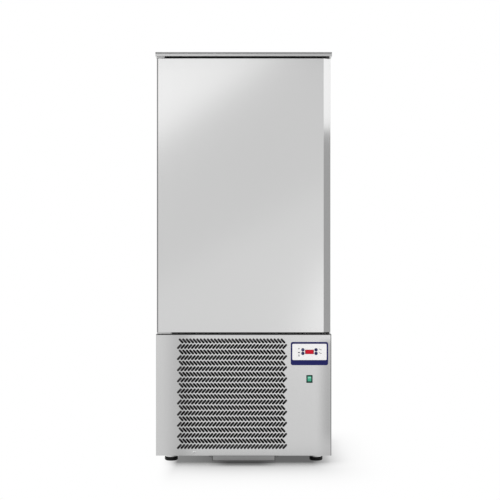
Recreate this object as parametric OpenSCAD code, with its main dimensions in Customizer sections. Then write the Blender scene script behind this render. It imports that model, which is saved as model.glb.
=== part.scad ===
// Upright blast chiller: an insulated tray cabinet with one full-height door,
// standing on a machine compartment with a pierced front panel.
// Sizes are in millimetres. The origin lies on the floor under the middle of the
// cabinet. X runs to the right, the front faces -Y and Z points up.

/* [Cabinet] */
// Width of the cabinet body
body_w = 790; // [760:5:840]
// Depth from the front edge to the back edge of the worktop
body_d = 800; // [780:5:860]
// Height from the floor to the top of the worktop
total_h = 1850; // [1800:5:1950]
// Thickness of the outer sheet metal
sheet_t = 1.2; // [1:0.1:2]
// Outer radius of the bends in the sheet metal
bend_r = 5; // [3:0.5:8]
// Thickness of an insulated side wall, and of the back wall
wall_t = 60; // [50:1:70]
// Thickness of the insulated floor, and of the ceiling
slab_t = 62; // [50:1:75]
// Thickness of the cold chamber's liner
liner_t = 1; // [0.8:0.1:1.5]
// Radius of the coves along the cold chamber's corners
liner_r = 15; // [8:1:25]
// Seam between neighbouring sheets of the liner and of the door frame
seam = 0.2; // [0.1:0.05:0.5]
// Thickness of the frame that the door closes against
frame_t = 4; // [3:0.5:8]
// Distance from the casing's back to the back edge of the worktop
back_set = 4; // [3:0.5:10]

/* [Worktop] */
// Height of the worktop
top_h = 20; // [16:1:30]
// How far the worktop stands out past each side
top_over = 2; // [2:0.5:6]
// Radius of the worktop's upper front edge
top_edge_r = 9; // [3:1:10]

/* [Door] */
// Thickness of the door
door_t = 62; // [56:1:70]
// Distance from the worktop's front edge back to the door's front
door_setback = 4; // [3:0.5:10]
// Distance from the cabinet's side to the door's side edge
door_inset = 4; // [2:0.5:8]
// Gap between the door and the worktop
door_gap_top = 10; // [8:0.5:14]
// Gap between the door and the front panel
door_gap_low = 10; // [8:0.5:14]
// Distance from the door's back to the door frame, which the gasket fills
gasket_h = 8; // [6:0.5:12]
// Width of the gasket
gasket_w = 22; // [16:1:24]
// Distance from the chamber's edge to the gasket's inner edge
gasket_lap = 10; // [6:1:12]
// Height of the plastic caps in the door's ends
door_cap_h = 30; // [24:1:50]

/* [Door grip] */
// Width of the slanted face along the door's right edge
grip_w = 31; // [28:1:40]
// How far the slanted face falls back
grip_fall = 18; // [12:1:20]
// Thickness of the grip's front lip at the finger channel
grip_lip = 5; // [4:0.5:8]
// Width of the finger channel in the door's edge
finger_w = 22; // [18:1:24]
// Depth of the finger channel
finger_d = 22; // [16:1:24]
// Wall thickness of the grip's extrusion
grip_wall = 2.5; // [2:0.1:3.5]

/* [Hinges] */
// Diameter of the hinge pins
pin_d = 12; // [8:1:14]
// Distance from the door's left edge to the hinge pins
pin_in = 15; // [13:1:20]
// Distance from the door's front to the hinge pins
pin_back = 25; // [20:1:32]
// Length of each hinge bracket along the front
hinge_l = 63; // [45:1:90]
// Thickness of the hinge brackets
hinge_t = 5; // [4:0.5:6]
// Height of the lower bracket's flange
hinge_flange_h = 40; // [30:1:60]
// How far a pin reaches into the door
pin_reach = 26; // [18:1:28]
// Wall thickness of the hinge bushes
bush_wall = 2.5; // [1.5:0.5:4]
// Running clearance around a pin or a shaft
pin_play = 0.05; // [0.02:0.01:0.1]

/* [Front panel] */
// Height of the lower front panel
panel_h = 545; // [520:5:580]
// Depth of the panel's side returns
panel_return = 26; // [20:1:40]
// Length of one slot of the grille
slot_l = 25; // [18:0.5:28]
// Width of one slot
slot_w = 7; // [5:0.5:8]
// Tilt of the slots
slot_angle = 47; // [35:1:55]
// Distance between neighbouring slots in a row
slot_pitch = 15.8; // [14.5:0.1:17]
// Distance between neighbouring rows
row_pitch = 25; // [22:0.5:26]
// Distance from the panel's left edge to the first slot's middle
grille_in = 105.7; // [95:0.1:120]
// Distance from the panel's top edge to the first row's middle
grille_down = 29; // [24:1:40]
// Least distance from the panel's lower edge to the last row's middle
grille_up = 36; // [30:1:120]
// Distance from the panel's left edge to its lower screw
screw_in = 172; // [120:1:260]
// Height of that screw above the panel's lower edge
screw_up = 16; // [12:1:20]
// Diameter of that screw's head
screw_head_d = 12; // [8:1:14]

/* [Air filter] */
// Distance from the panel's left edge to the filter frame
filter_in = 95; // [80:1:110]
// Distance from the filter frame to the control housing
filter_gap = 17; // [10:1:40]
// Height of the filter frame above the panel's lower edge
filter_up = 42; // [34:1:60]
// Distance from the panel's top edge to the filter frame
filter_down = 12; // [6:1:16]
// Depth of the filter frame
filter_frame_d = 30; // [22:1:40]
// Sheet thickness of the filter frame
filter_lip = 1.5; // [1:0.1:2]
// Width of the filter frame's left flange
filter_flange = 18; // [12:1:40]
// Height of the filter frame's upper flange
filter_top_flange = 17.5; // [10:0.5:24]
// Height of the filter frame's lower bar
filter_bar = 5; // [4:0.5:14]
// Thickness of the filter mat
filter_t = 12; // [6:1:20]

/* [Control panel] */
// Width of the control panel
ctrl_w = 168; // [150:1:190]
// Height of the control panel
ctrl_h = 104.5; // [96:0.5:120]
// Radius of its corners
ctrl_r = 9; // [4:1:14]
// How far it stands out from the front panel
ctrl_t = 2; // [1.5:0.1:2.6]
// Distance from the cabinet's right side to the control panel
ctrl_in = 15; // [10:1:40]
// Distance from the front panel's top edge to the control panel
ctrl_down = 33.5; // [25:0.5:60]
// Thickness of its white face
face_t = 0.5; // [0.4:0.1:0.8]
// Left and right border around the white face
face_side = 7; // [4:0.5:12]
// Border above the white face
face_top = 8.5; // [4:0.5:12]
// Border below the white face
face_low = 23.3; // [14:0.1:30]
// Width of the display
display_w = 40; // [30:1:60]
// Height of the display
display_h = 20; // [14:1:26]
// Height of the display's middle above the control panel's lower edge
display_up = 60; // [50:0.5:70]
// Diameter of the round keys
key_d = 14.3; // [10:0.1:15]
// Distance from the display's middle to the left and right keys
key_x = 29.6; // [28:0.1:36]
// Distance between the two keys of a column
key_pitch = 16; // [16:0.1:22]
// Height of the keys' middle above the display's middle
key_up = 1.3; // [-2:0.1:3]
// How far a key stands out
key_proud = 0.6; // [0.3:0.1:1.2]
// Travel of a key
key_travel = 0.7; // [0.4:0.1:1]
// Clearance around a key
key_play = 0.3; // [0.2:0.05:0.4]
// Depth of the control housing behind the front panel
housing_d = 46; // [30:1:60]
// How far the control panel laps over the housing at its sides
housing_lap = 9; // [6:0.5:12]
// Wall thickness of the control housing
housing_wall = 2.5; // [2:0.1:4]

/* [Power switch] */
// Width of the switch's rim
switch_w = 28; // [26:0.5:34]
// Height of the switch's rim
switch_h = 35; // [32:0.5:42]
// Width of the rocker
rocker_w = 18; // [16:0.5:22]
// Height of the rocker
rocker_h = 24; // [20:0.5:28]
// Tilt of the rocker to each side
rocker_tilt = 7; // [4:1:9]
// Distance from the control panel down to the switch's middle
switch_down = 62; // [40:1:90]
// Depth of the switch behind the front panel
switch_d = 26; // [18:1:40]

/* [Feet] */
// Clear height under the front panel
foot_h = 33; // [30:1:60]
// Diameter of a foot
foot_d = 60; // [40:1:70]
// Radius of a foot's lower edge
foot_r = 8; // [3:1:10]
// Distance from the cabinet's side to a foot's middle
foot_in = 65; // [50:1:90]
// Distance from the door's front to the front feet
foot_front = 88; // [60:1:120]
// Distance from the casing's back to the rear feet
foot_rear = 86; // [60:1:120]
// Diameter of a foot's threaded stem
stem_d = 16; // [10:1:20]
// Height of the threaded sleeves above the base
sleeve_h = 42; // [30:1:60]
// Wall thickness of the threaded sleeves
sleeve_wall = 5; // [3:0.5:8]
// Height of a foot's rubber pad
foot_pad_h = 17; // [14:1:26]
// Diameter of the collar above the pad
foot_collar_d = 50; // [30:1:52]

/* [Drip tray] */
// Width of the drip tray
drip_w = 285; // [200:5:340]
// Length of the drip tray
drip_l = 300; // [220:5:360]
// Height of the drip tray
drip_h = 21; // [18:1:24]
// Wall thickness of the drip tray
drip_t = 1.5; // [1:0.1:2]
// How far the tray's rims rest on the runners
drip_rim = 8; // [6:1:12]
// Gap between the tray's top edge and the base
drip_gap = 1.5; // [1:0.1:3]

/* [Racks] */
// Distance from a tray to the chamber's side wall
tray_side = 35; // [32:1:70]
// Play of a tray between the racks, on each side
tray_play = 4; // [2:0.5:6]
// Length of the tray ledges
ledge_l = 400; // [325:5:405]
// Distance between tray levels
level_pitch = 65; // [45:1:130]
// Height of the chamber that the levels leave free at least, above and below together
level_room = 90; // [70:1:400]
// Width of the ledge under a tray
ledge_w = 25; // [18:1:35]
// Height of a ledge's flange
ledge_h = 20; // [12:1:25]
// Sheet thickness of the racks
rack_t = 1.5; // [1:0.1:2]
// Width of a rack's uprights
upright_w = 24; // [18:1:36]
// Distance from the door frame back to the racks
rack_back = 16; // [8:1:24]
// Height of the racks above the chamber's floor
rack_up = 15; // [10:1:40]
// Distance from the chamber's ceiling down to the racks
rack_down = 35; // [20:1:60]
// Distance from a ledge's end to the nearest upright
upright_in = 20; // [0:1:60]

/* [Evaporator] */
// Depth of the evaporator's coil
coil_d = 100; // [70:5:110]
// Distance from the coil to the chamber's side wall
coil_side = 35; // [35:1:75]
// Distance from the chamber's back to the coil
coil_back = 11; // [8:1:20]
// Depth of the space between the fan panel and the coil
plenum = 113; // [105:1:125]
// Height of the coil above the chamber's floor
coil_up = 45; // [30:1:80]
// Distance from the chamber's ceiling down to the coil
coil_down = 35; // [25:1:80]
// Distance of the fan panel from floor and ceiling
fan_panel_gap = 18; // [14:1:30]
// Width of the fan panel's side flanges
fan_flange = 22; // [12:1:40]
// Diameter of the fan openings
fan_hole_d = 250; // [200:5:260]
// Diameter of the evaporator fans' rotors
fan_d = 236; // [180:2:240]
// Diameter of the rotors' hubs
hub_d = 76; // [60:1:90]
// Diameter of the fan shafts
shaft_d = 10; // [8:1:12]
// Distance from the fan panel to the motor plates
motor_stand = 42; // [38:1:50]
// Length of the evaporator fans' motors
motor_l = 52; // [40:1:55]
// Diameter of the evaporator fans' motors
motor_d = 92; // [80:1:110]
// Thickness of the evaporator fans' rotors
rotor_t = 26; // [20:1:30]
// Width of the rings and spokes of the fan guards
guard_ring = 4; // [2:0.5:6]

/* [Machine compartment] */
// Distance from the cabinet's left side to the condenser
cond_in = 105; // [100:1:120]
// Width of the condenser
cond_w = 390; // [360:5:400]
// Height of the condenser
cond_h = 420; // [380:5:440]
// Depth of the condenser
cond_d = 60; // [40:1:70]
// Distance from the front of the door to the condenser
cond_back = 51; // [48:1:60]
// Depth of the fan shroud
shroud_d = 50; // [40:1:55]
// Diameter of the condenser fan's opening
cond_hole_d = 310; // [260:5:320]
// Diameter of the condenser fan's rotor
cond_fan_d = 294; // [240:2:300]
// Height of the condenser above the base pan
cond_up = 30; // [20:1:40]
// Diameter of the condenser fan's motor
cond_motor_d = 100; // [80:1:120]
// Length of the condenser fan's motor
cond_motor_l = 70; // [50:1:80]
// Thickness of the condenser fan's rotor
cond_rotor_t = 28; // [20:1:30]
// Distance between neighbouring fins of both coils
fin_pitch = 10; // [6:1:14]
// Distance from the cabinet's left side to the compressor's middle
comp_in = 245; // [230:1:260]
// Distance from the casing's back to the compressor's middle
comp_rear = 266; // [240:1:280]
// Diameter of the compressor's shell
comp_d = 165; // [140:5:180]
// Height of the compressor's shell
comp_h = 250; // [200:5:280]
// Diameter of the liquid receiver
receiver_d = 110; // [80:5:130]
// Height of the liquid receiver
receiver_h = 200; // [150:5:240]
// Distance from the cabinet's right side to the receiver's middle
receiver_in = 225; // [210:1:235]
// Diameter of the suction pipe
suction_d = 22; // [16:1:28]
// Diameter of the other pipes
liquid_d = 12; // [8:1:14]
// Diameter of the drain pipe
drain_d = 28; // [22:1:34]
// Wall thickness of the drain pipe
drain_wall = 2; // [1.5:0.1:3]
// Distance of the drain pipe from the cabinet's middle, to the right
drain_x = 128; // [126:0.5:130]
// Distance from the door's front to the drain pipe
drain_back = 205; // [190:1:215]
// Bore of the mains cable gland
gland_bore = 14; // [8:1:16]
// Distance from the cabinet's right side to the gland
gland_in = 150; // [140:1:170]
// Distance from the casing's back to the gland
gland_rear = 46; // [30:1:60]
// Width of the electrical box
ebox_w = 150; // [110:1:160]
// Depth of the electrical box
ebox_d = 190; // [120:1:220]
// Height of the electrical box
ebox_h = 280; // [200:1:300]
// Height of the electrical box above the base pan
ebox_up = 60; // [40:1:80]
// Distance from the door's front to the electrical box
ebox_back = 96; // [80:1:130]

/* [Rear grille] */
// Distance from the cabinet's side to the grille's side
rear_in = 75; // [60:1:120]
// Height of the grille above the base
rear_up = 40; // [30:1:80]
// Distance from the insulated box down to the grille
rear_down = 50; // [20:1:90]
// How far the grille laps over the casing's opening
rear_lap = 20; // [12:1:30]
// Distance from the grille's side to its louvres
rear_side = 41; // [30:1:60]
// Distance from the grille's lower and upper edges to its louvres
rear_rim = 35; // [24:1:60]
// Width of a louvre's slot
louvre_w = 7; // [5:0.5:9]
// Distance between neighbouring louvres
louvre_pitch = 24; // [18:1:32]
// Distance between neighbouring columns of louvres
louvre_gap = 24; // [16:1:40]

/* [Hidden] */
$fn = 48;

// Colours
steel = [0.79, 0.79, 0.8];
dark_steel = [0.5, 0.51, 0.53];
zinc = [0.66, 0.67, 0.68];
foam = [0.9, 0.84, 0.62];
black = [0.1, 0.1, 0.11];
grey = [0.36, 0.37, 0.39];
navy = [0.12, 0.13, 0.37];
white = [0.94, 0.94, 0.95];
red = [0.78, 0.08, 0.15];
green = [0.2, 0.74, 0.58];
dark_green = [0.04, 0.35, 0.29];
copper = [0.72, 0.45, 0.3];

// Cut-through allowance of holes, and the gap between parts that move past each other
eps = 1;
gap = 0.3;
bore_play = 1;
cove_lip = 0.5;

// Main planes
side_x = body_w / 2;
in_x = side_x - sheet_t;
cav_x = side_x - wall_t;
door_x = side_x - door_inset;
z_base = foot_h;
z_box = z_base + panel_h;
z_top = total_h - top_h;
z_door0 = z_box + door_gap_low;
z_door1 = z_top - door_gap_top;
z_cav0 = z_box + slab_t;
z_cav1 = z_top - slab_t;
y_top0 = -body_d / 2;
y_front = y_top0 + door_setback;
y_door1 = y_front + door_t;
y_box = y_door1 + gasket_h;
y_frame1 = y_box + frame_t;
y_back = body_d / 2 - back_set;
y_cav1 = y_back - wall_t;

// Hinge pins
pin_x = -door_x + pin_in;
pin_y = y_front + pin_back;
bush_flange_t = 0.5;
z_leaf1 = z_door0 - bush_flange_t - gap;
z_leaf0 = z_leaf1 - hinge_t;

// Base pan and its holes
pan_t = 2;
pan_flange = 26;
z_pan1 = z_base + pan_t;
y_pan0 = y_front + sheet_t;
y_pan1 = y_back - sheet_t;
foot_x = side_x - foot_in;
foot_y0 = y_front + foot_front;
foot_y1 = y_back - foot_rear;
drain_y = y_front + drain_back;
gland_x = side_x - gland_in;
gland_y = y_back - gland_rear;

// Control panel
ctrl_x1 = side_x - ctrl_in;
ctrl_x = ctrl_x1 - ctrl_w / 2;
ctrl_z1 = z_box - ctrl_down;
ctrl_z0 = ctrl_z1 - ctrl_h;
ctrl_z = (ctrl_z0 + ctrl_z1) / 2;
display_z = ctrl_z0 + display_up;
key_z = display_z + key_up;
key_back = 6.1;
key_flange = 1.4;
key_flange_t = 1.2;
y_ctrl = y_front - ctrl_t;
board_t = 1.6;
y_key1 = y_front + key_back;
y_board = y_key1 + key_travel + gap;
housing_w = ctrl_w - 2 * housing_lap;
housing_h = ctrl_h - 2 * housing_lap + 1;

// Power switch
switch_x = ctrl_x;
switch_z = ctrl_z0 - switch_down;
rim_lap = 1.5;
switch_body_w = switch_w - 2 * rim_lap;
switch_body_h = switch_h - 2 * rim_lap - 0.4;
switch_well_w = rocker_w + 2 * gap;
switch_well_h = rocker_h + 1.6;
switch_floor = 2;
rocker_back = 4;
rocker_y = y_front + rocker_back;
rocker_face = 5;
rocker_dish = 1.3;
rocker_edge = 1;
rocker_pin_d = 3;

// Racks
levels = floor((z_cav1 - z_cav0 - level_room) / level_pitch);
rack_y0 = y_box + rack_back;
rack_x = cav_x - tray_side + tray_play;
rack_z0 = z_cav0 + rack_up;
rack_z1 = z_cav1 - rack_down;
first_level = (z_cav0 + z_cav1 - (levels - 1) * level_pitch) / 2 - ledge_h / 2;

// Evaporator
fans = 3;
y_coil1 = y_cav1 - coil_back;
y_coil0 = y_coil1 - coil_d;
y_fans = y_coil0 - plenum;
fan_z0 = z_cav0 + fan_panel_gap;
fan_z1 = z_cav1 - fan_panel_gap;
fan_pitch = (fan_z1 - fan_z0) / fans;
coil_z0 = z_cav0 + coil_up;
coil_z1 = z_cav1 - coil_down;
coil_x = cav_x - coil_side;
coil_plate = 3;
coil_lap = 6;
coil_row = 64;
coil_row_up = 50;
coil_row_down = 40;
suction_in = 40;
liquid_in = 90;
tube_d = 10;
return_r = 13;
header_x = (coil_x + coil_plate + cav_x) / 2;
suction_y = y_coil1 - suction_d;
liquid_y = y_coil0 + liquid_d;
guard_t = 3;
guard_lap = 10;
plate_t = 3;
plate_w = 26;
leg_d = 9;
leg_out = 12;
rotor_gap = 6;
shaft_in = 4;

// Machine compartment
cond_x0 = -side_x + cond_in;
cond_x1 = cond_x0 + cond_w;
cond_x = (cond_x0 + cond_x1) / 2;
cond_y0 = y_front + cond_back;
cond_y1 = cond_y0 + cond_d;
cond_z0 = z_pan1 + cond_up;
cond_z = cond_z0 + cond_h / 2;
cond_row = 50;
cond_row_up = 40;
cond_row_down = 30;
shroud_y1 = cond_y1 + shroud_d;
shroud_t = 2;
cond_rotor_y1 = shroud_y1 + cond_rotor_t;
cond_motor_y0 = cond_rotor_y1 + 8;
bracket_w = 70;
bracket_l = 40;
bracket_t = 4;
comp_x = -side_x + comp_in;
comp_y = y_back - comp_rear;
comp_mount_h = 24;
comp_foot_t = 4;
comp_z0 = z_pan1 + comp_mount_h + comp_foot_t;
comp_z1 = comp_z0 + comp_h;
suction_z = comp_z0 + comp_h / 2;
stub_l = 12;
receiver_x = side_x - receiver_in;
receiver_y = liquid_y;
drier_d = 50;
drier_l = 110;
drier_down = 20;
ebox_t = 2;
cross_down = 58;
liquid_down = 110;
low_up = 75;
pipe_in = 75;
riser_out = 190;
cross_z = z_box - cross_down;
liquid_z = z_box - liquid_down;
low_z = z_pan1 + low_up;
pipe_x = -side_x + pipe_in;
riser_x = comp_x + riser_out;

// Drip tray
drip_y0 = y_front + 1;
drip_z1 = z_base - drip_gap;
drip_z0 = drip_z1 - drip_h;
rim_t = 2;
rim_z = drip_z1 - 5;
rim_back = 6;
runner_gap = 1;
runner_over = 12;
stem_down = 6;

// Air filter and grille
filter_x0 = -side_x + filter_in;
filter_x1 = ctrl_x - housing_w / 2 - filter_gap;
filter_z0 = z_base + filter_up;
filter_z1 = z_box - filter_down;
slots_in_row = floor((filter_x1 + side_x - grille_in - slot_l / 2) / slot_pitch);
rows = floor((panel_h - grille_down - grille_up) / row_pitch) + 1;

// Rear grille
rear_x = side_x - rear_in;
rear_z0 = z_base + rear_up;
rear_z1 = z_box - rear_down;
louvre_l = (2 * (rear_x - rear_side) - 2 * louvre_gap) / 3;
louvre_out = back_set - sheet_t - gap;

// Glands
gland_thread_d = 22;
gland_nut_d = 30;
gland_down = 18;
gland_up = 12;
gland_nut_t = 6;
probe_l = 14;
probe_d = 12;
probe_flange_d = 18;
probe_flange_t = 5;
probe_bore = 5;
probe_room = 5;
probe_y = rack_y0 + upright_in + upright_w + probe_flange_d / 2 + probe_room;
probe_z = z_cav1 - liner_r - probe_flange_d / 2 - eps;

// ---- Helpers ----

// A block between two opposite corners
module block(a, b) {
    translate(a) cube(b - a);
}

// A drawing in X and Z, given the thickness t behind the plane y0
module plate_y(y0, t) {
    translate([0, y0 + t, 0]) rotate([90, 0, 0]) linear_extrude(t) children();
}

// A drawing in Y and Z, given the length l to the right of x0
module bar_x(x0, l) {
    translate([x0, 0, 0]) rotate([90, 0, 90]) linear_extrude(l) children();
}

// A round bar along Y from y0 to y1
module rod_y(x, z, d, y0, y1) {
    translate([x, y0, z]) rotate([-90, 0, 0]) cylinder(d = d, h = y1 - y0);
}

// A round bar along Z from z0 to z1
module rod_z(x, y, d, z0, z1) {
    translate([x, y, z0]) cylinder(d = d, h = z1 - z0);
}

// A rectangle with round corners, drawn around the origin
module rounded(w, h, r) {
    square([w - 2 * r, h], center = true);
    square([w, h - 2 * r], center = true);
    for (sx = [-1, 1], sz = [-1, 1])
        translate([sx * (w / 2 - r), sz * (h / 2 - r)]) circle(r);
}

// A rectangle from y0 to y1 whose two corners at y0 are round
module front_round(x, y0, y1, r) {
    translate([-x, y0 + r]) square([2 * x, y1 - y0 - r]);
    translate([-x + r, y0]) square([2 * (x - r), y1 - y0]);
    for (s = [-1, 1])
        translate([s * (x - r), y0 + r]) circle(r);
}

// The U of a sheet bent round the back and both sides, open to the front at y0
module back_sheet(y0) {
    difference() {
        mirror([0, 1, 0]) front_round(side_x, -y_back, -y0, bend_r);
        mirror([0, 1, 0]) front_round(in_x, -y_back + sheet_t, -y0 + eps, bend_r - sheet_t);
    }
}

// ---- Cabinet ----

module outer_casing() color(steel) {
    difference() {
        union() {
            translate([0, 0, z_box]) linear_extrude(z_top - z_box) back_sheet(y_frame1);
            translate([0, 0, z_base]) linear_extrude(panel_h)
                back_sheet(y_front + panel_return + eps);
        }
        block([-rear_x + rear_lap, y_back - 2 * bend_r, rear_z0 + rear_lap],
            [rear_x - rear_lap, y_back + eps, rear_z1 - rear_lap]);
    }
}

// Outline of the worktop in Y and Z, drawn in by i
module worktop_outline(i) {
    r = top_edge_r - i;
    y0 = y_top0 + i;
    y1 = -y_top0 - i;
    z0 = z_top + i;
    z1 = total_h - i;
    translate([y0, z0]) square([y1 - y0, z1 - z0 - r]);
    translate([y0 + r, z0]) square([y1 - y0 - r, z1 - z0]);
    translate([y0 + r, z1 - r]) circle(r);
}

module worktop() color(steel) {
    x = side_x + top_over;
    difference() {
        bar_x(-x, 2 * x) worktop_outline(0);
        bar_x(-x + sheet_t, 2 * (x - sheet_t)) worktop_outline(sheet_t);
        block([-x + sheet_t, y_box, z_top - eps], [x - sheet_t, -y_top0 - sheet_t, total_h - top_h / 2]);
    }
}

module worktop_core() color(foam) {
    block([-side_x, y_box, z_top], [side_x, y_back, total_h - sheet_t]);
}

// Bores through the insulated floor for the drain and the two headers
module floor_bores() {
    z0 = z_box - eps;
    z1 = z_cav0 + liner_r + eps;
    rod_z(drain_x, drain_y, drain_d + 2 * bore_play, z0, z1);
    rod_z(header_x, suction_y, suction_d + 2 * bore_play, z0, z1);
    rod_z(header_x, liquid_y, liquid_d + 2 * bore_play, z0, z1);
}

module cabinet_insulation() color(foam) {
    difference() {
        translate([0, 0, z_box + sheet_t]) linear_extrude(z_top - z_box - sheet_t)
            mirror([0, 1, 0]) front_round(in_x, -y_back + sheet_t, -y_frame1, bend_r - sheet_t);
        block([-cav_x - liner_t, y_frame1 - eps, z_cav0 - liner_t],
            [cav_x + liner_t, y_cav1 + liner_t, z_cav1 + liner_t]);
        floor_bores();
    }
}

// The cold chamber's floor, ceiling, sides and back, which are separate sheets
module inner_liner() color(steel) {
    t = liner_t;
    difference() {
        union() {
            for (z = [z_cav0 - t, z_cav1])
                block([-cav_x - t, y_frame1, z], [cav_x + t, y_cav1 - seam, z + t]);
            for (x = [-cav_x - t, cav_x])
                block([x, y_frame1, z_cav0 + seam], [x + t, y_cav1 - seam, z_cav1 - seam]);
            block([-cav_x - t, y_cav1, z_cav0 - t], [cav_x + t, y_cav1 + t, z_cav1 + t]);
        }
        floor_bores();
    }
}

// Coved strips along the chamber's four corners, flush with the door frame's front
module liner_coves() color(steel) {
    r = liner_r;
    difference() {
        plate_y(y_box, y_cav1 - y_box)
            for (sx = [-1, 1], z = [z_cav0 + r, z_cav1 - r]) {
                sz = z == z_cav0 + r ? -1 : 1;
                translate([sx * (cav_x - r), z]) difference() {
                    translate([sx * r / 2, sz * r / 2]) square(r, center = true);
                    circle(r - cove_lip);
                }
            }
        floor_bores();
    }
}

// Two uprights and two rails that the gasket closes against
module door_frame() color(steel) {
    for (x = [-side_x, cav_x])
        block([x, y_box, z_box], [x + wall_t, y_frame1, z_top]);
    for (z = [[z_box, z_cav0], [z_cav1, z_top]])
        block([-cav_x + seam, y_box, z[0]], [cav_x - seam, y_frame1, z[1]]);
}

module box_underside() color(zinc) {
    difference() {
        translate([0, 0, z_box]) linear_extrude(sheet_t)
            mirror([0, 1, 0]) front_round(in_x, -y_back + sheet_t, -y_frame1, bend_r - sheet_t);
        floor_bores();
    }
}

rail_h = 46;
rail_d = 28;

// Channel under the insulated box that carries the lower hinge
module front_rail() color(zinc) {
    bar_x(-in_x, 2 * in_x) difference() {
        translate([y_box, z_box - rail_h]) square([rail_d, rail_h]);
        translate([y_box + pan_t, z_box - rail_h + pan_t]) square([rail_d, rail_h - 2 * pan_t]);
    }
}

// The base pan's outline, drawn in by i
module pan_outline(i) {
    translate([0, (y_pan0 + y_pan1) / 2])
        rounded(2 * (in_x - i), y_pan1 - y_pan0 - 2 * i, max(bend_r - sheet_t - i, 0.5));
}

// Folded base with the drip tray's two runners welded under it
module base_pan() color(zinc) {
    x0 = drip_w / 2 + runner_gap;
    x1 = x0 + drip_rim;
    y0 = drip_y0 + rim_back + rim_t;
    y1 = drip_y0 + drip_l + runner_over;
    z0 = rim_z - gap - rim_t;
    difference() {
        translate([0, 0, z_base]) linear_extrude(pan_flange) pan_outline(0);
        translate([0, 0, z_pan1]) linear_extrude(pan_flange) pan_outline(pan_t);
        for (x = [-foot_x, foot_x], y = [foot_y0, foot_y1])
            rod_z(x, y, stem_d + 2 * gap, z_base - eps, z_pan1 + eps);
        rod_z(drain_x, drain_y, drain_d + 2 * gap, z_base - eps, z_pan1 + eps);
        rod_z(gland_x, gland_y, gland_thread_d + 2 * gap, z_base - eps, z_pan1 + eps);
        rod_y(-side_x + screw_in, z_base + screw_up, screw_d + 2 * gap, y_pan0 - eps, y_pan0 + pan_t + eps);
    }
    for (s = [0, 1]) mirror([s, 0, 0]) {
        block([x1, y0, z0], [x1 + rim_t, y1, z_base]);
        block([x0, y0, z0], [x1, y1, z0 + rim_t]);
    }
}

drain_flange_d = 50;
drain_flange_t = 2;

// Funnel in the chamber's floor, with its pipe down to the drip tray
module drain_pipe() color(grey) {
    difference() {
        union() {
            rod_z(drain_x, drain_y, drain_d, z_base, z_cav0 + drain_flange_t);
            rod_z(drain_x, drain_y, drain_flange_d, z_cav0, z_cav0 + drain_flange_t);
        }
        rod_z(drain_x, drain_y, drain_d - 2 * drain_wall, z_base - eps, z_cav0 + drain_flange_t + eps);
    }
}

// Louvred plate over the machine compartment's back
module rear_grille() color(steel) {
    columns = [-1, 0, 1];
    count = floor((rear_z1 - rear_z0 - 2 * rear_rim) / louvre_pitch);
    z0 = (rear_z0 + rear_z1 - (count - 1) * louvre_pitch) / 2;
    plate_y(y_back, sheet_t) difference() {
        translate([-rear_x, rear_z0]) square([2 * rear_x, rear_z1 - rear_z0]);
        for (c = columns, i = [0:count - 1])
            translate([c * (louvre_l + louvre_gap), z0 + i * louvre_pitch])
                square([louvre_l, louvre_w], center = true);
    }
    // a hood over each slot
    for (c = columns, i = [0:count - 1])
        bar_x(c * (louvre_l + louvre_gap) - louvre_l / 2, louvre_l)
            translate([y_back + sheet_t, z0 + i * louvre_pitch + louvre_w / 2])
                polygon([[0, 0], [louvre_out, -louvre_w / 2], [louvre_out, 1 - louvre_w / 2], [0, 5]]);
}

// Gland for the mains cable, pointing down through the base
module mains_gland() {
    difference() {
        union() {
            rod_z(gland_x, gland_y, gland_thread_d, z_base - gland_down, z_pan1 + gland_up);
            for (z = [z_base - gland_nut_t, z_pan1])
                translate([gland_x, gland_y, z]) cylinder(d = gland_nut_d, h = gland_nut_t, $fn = 6);
        }
        rod_z(gland_x, gland_y, gland_bore, z_base - gland_down - eps, z_pan1 + gland_up + eps);
    }
}

// Gland of the core probe's cable, behind the right rack's front upright
module probe_gland() {
    translate([cav_x - probe_l, probe_y, probe_z]) rotate([0, 90, 0])
        difference() {
            union() {
                cylinder(d = probe_d, h = probe_l);
                translate([0, 0, probe_l - probe_flange_t])
                    cylinder(d = probe_flange_d, h = probe_flange_t);
            }
            translate([0, 0, -eps]) cylinder(d = probe_bore, h = probe_l - probe_flange_t + 2 * eps);
        }
}

module cable_glands() color(black) {
    mains_gland();
    probe_gland();
}

// ---- Hinges ----

leaf_back = 4;
y_leaf0 = y_front + leaf_back;
collar_d = 18;
collar_t = 2;
plate_front = 3;
plate_side = 10;

// Lower angle on the rail, and a smaller plate under the worktop, just around its pin
module hinge_brackets() color(steel) {
    x0 = -door_x;
    x1 = -door_x + hinge_l;
    difference() {
        union() {
            block([x0, y_leaf0, z_leaf0], [x1, y_box, z_leaf1]);
            block([x0, y_box - hinge_t, z_leaf1 - hinge_flange_h], [x1, y_box, z_leaf1]);
        }
        rod_z(pin_x, pin_y, pin_d + 2 * pin_play, z_leaf0 - eps, z_leaf1 + eps);
    }
    difference() {
        block([x0, pin_y - collar_d / 2 - plate_front, z_top - hinge_t],
            [pin_x + collar_d / 2 + plate_side, y_box, z_top]);
        rod_z(pin_x, pin_y, pin_d + 2 * pin_play, z_top - hinge_t - eps, z_top + eps);
    }
}

// Collared pins that stand in the brackets and reach into the door
module hinge_pins() color(steel) {
    rod_z(pin_x, pin_y, pin_d, z_leaf0, z_door0 + pin_reach);
    rod_z(pin_x, pin_y, collar_d, z_leaf0 - collar_t, z_leaf0);
    rod_z(pin_x, pin_y, pin_d, z_door1 - pin_reach, z_top - gap);
    rod_z(pin_x, pin_y, collar_d, z_top - hinge_t - collar_t, z_top - hinge_t);
}

bush_d = pin_d + 2 * (pin_play + bush_wall);

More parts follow.
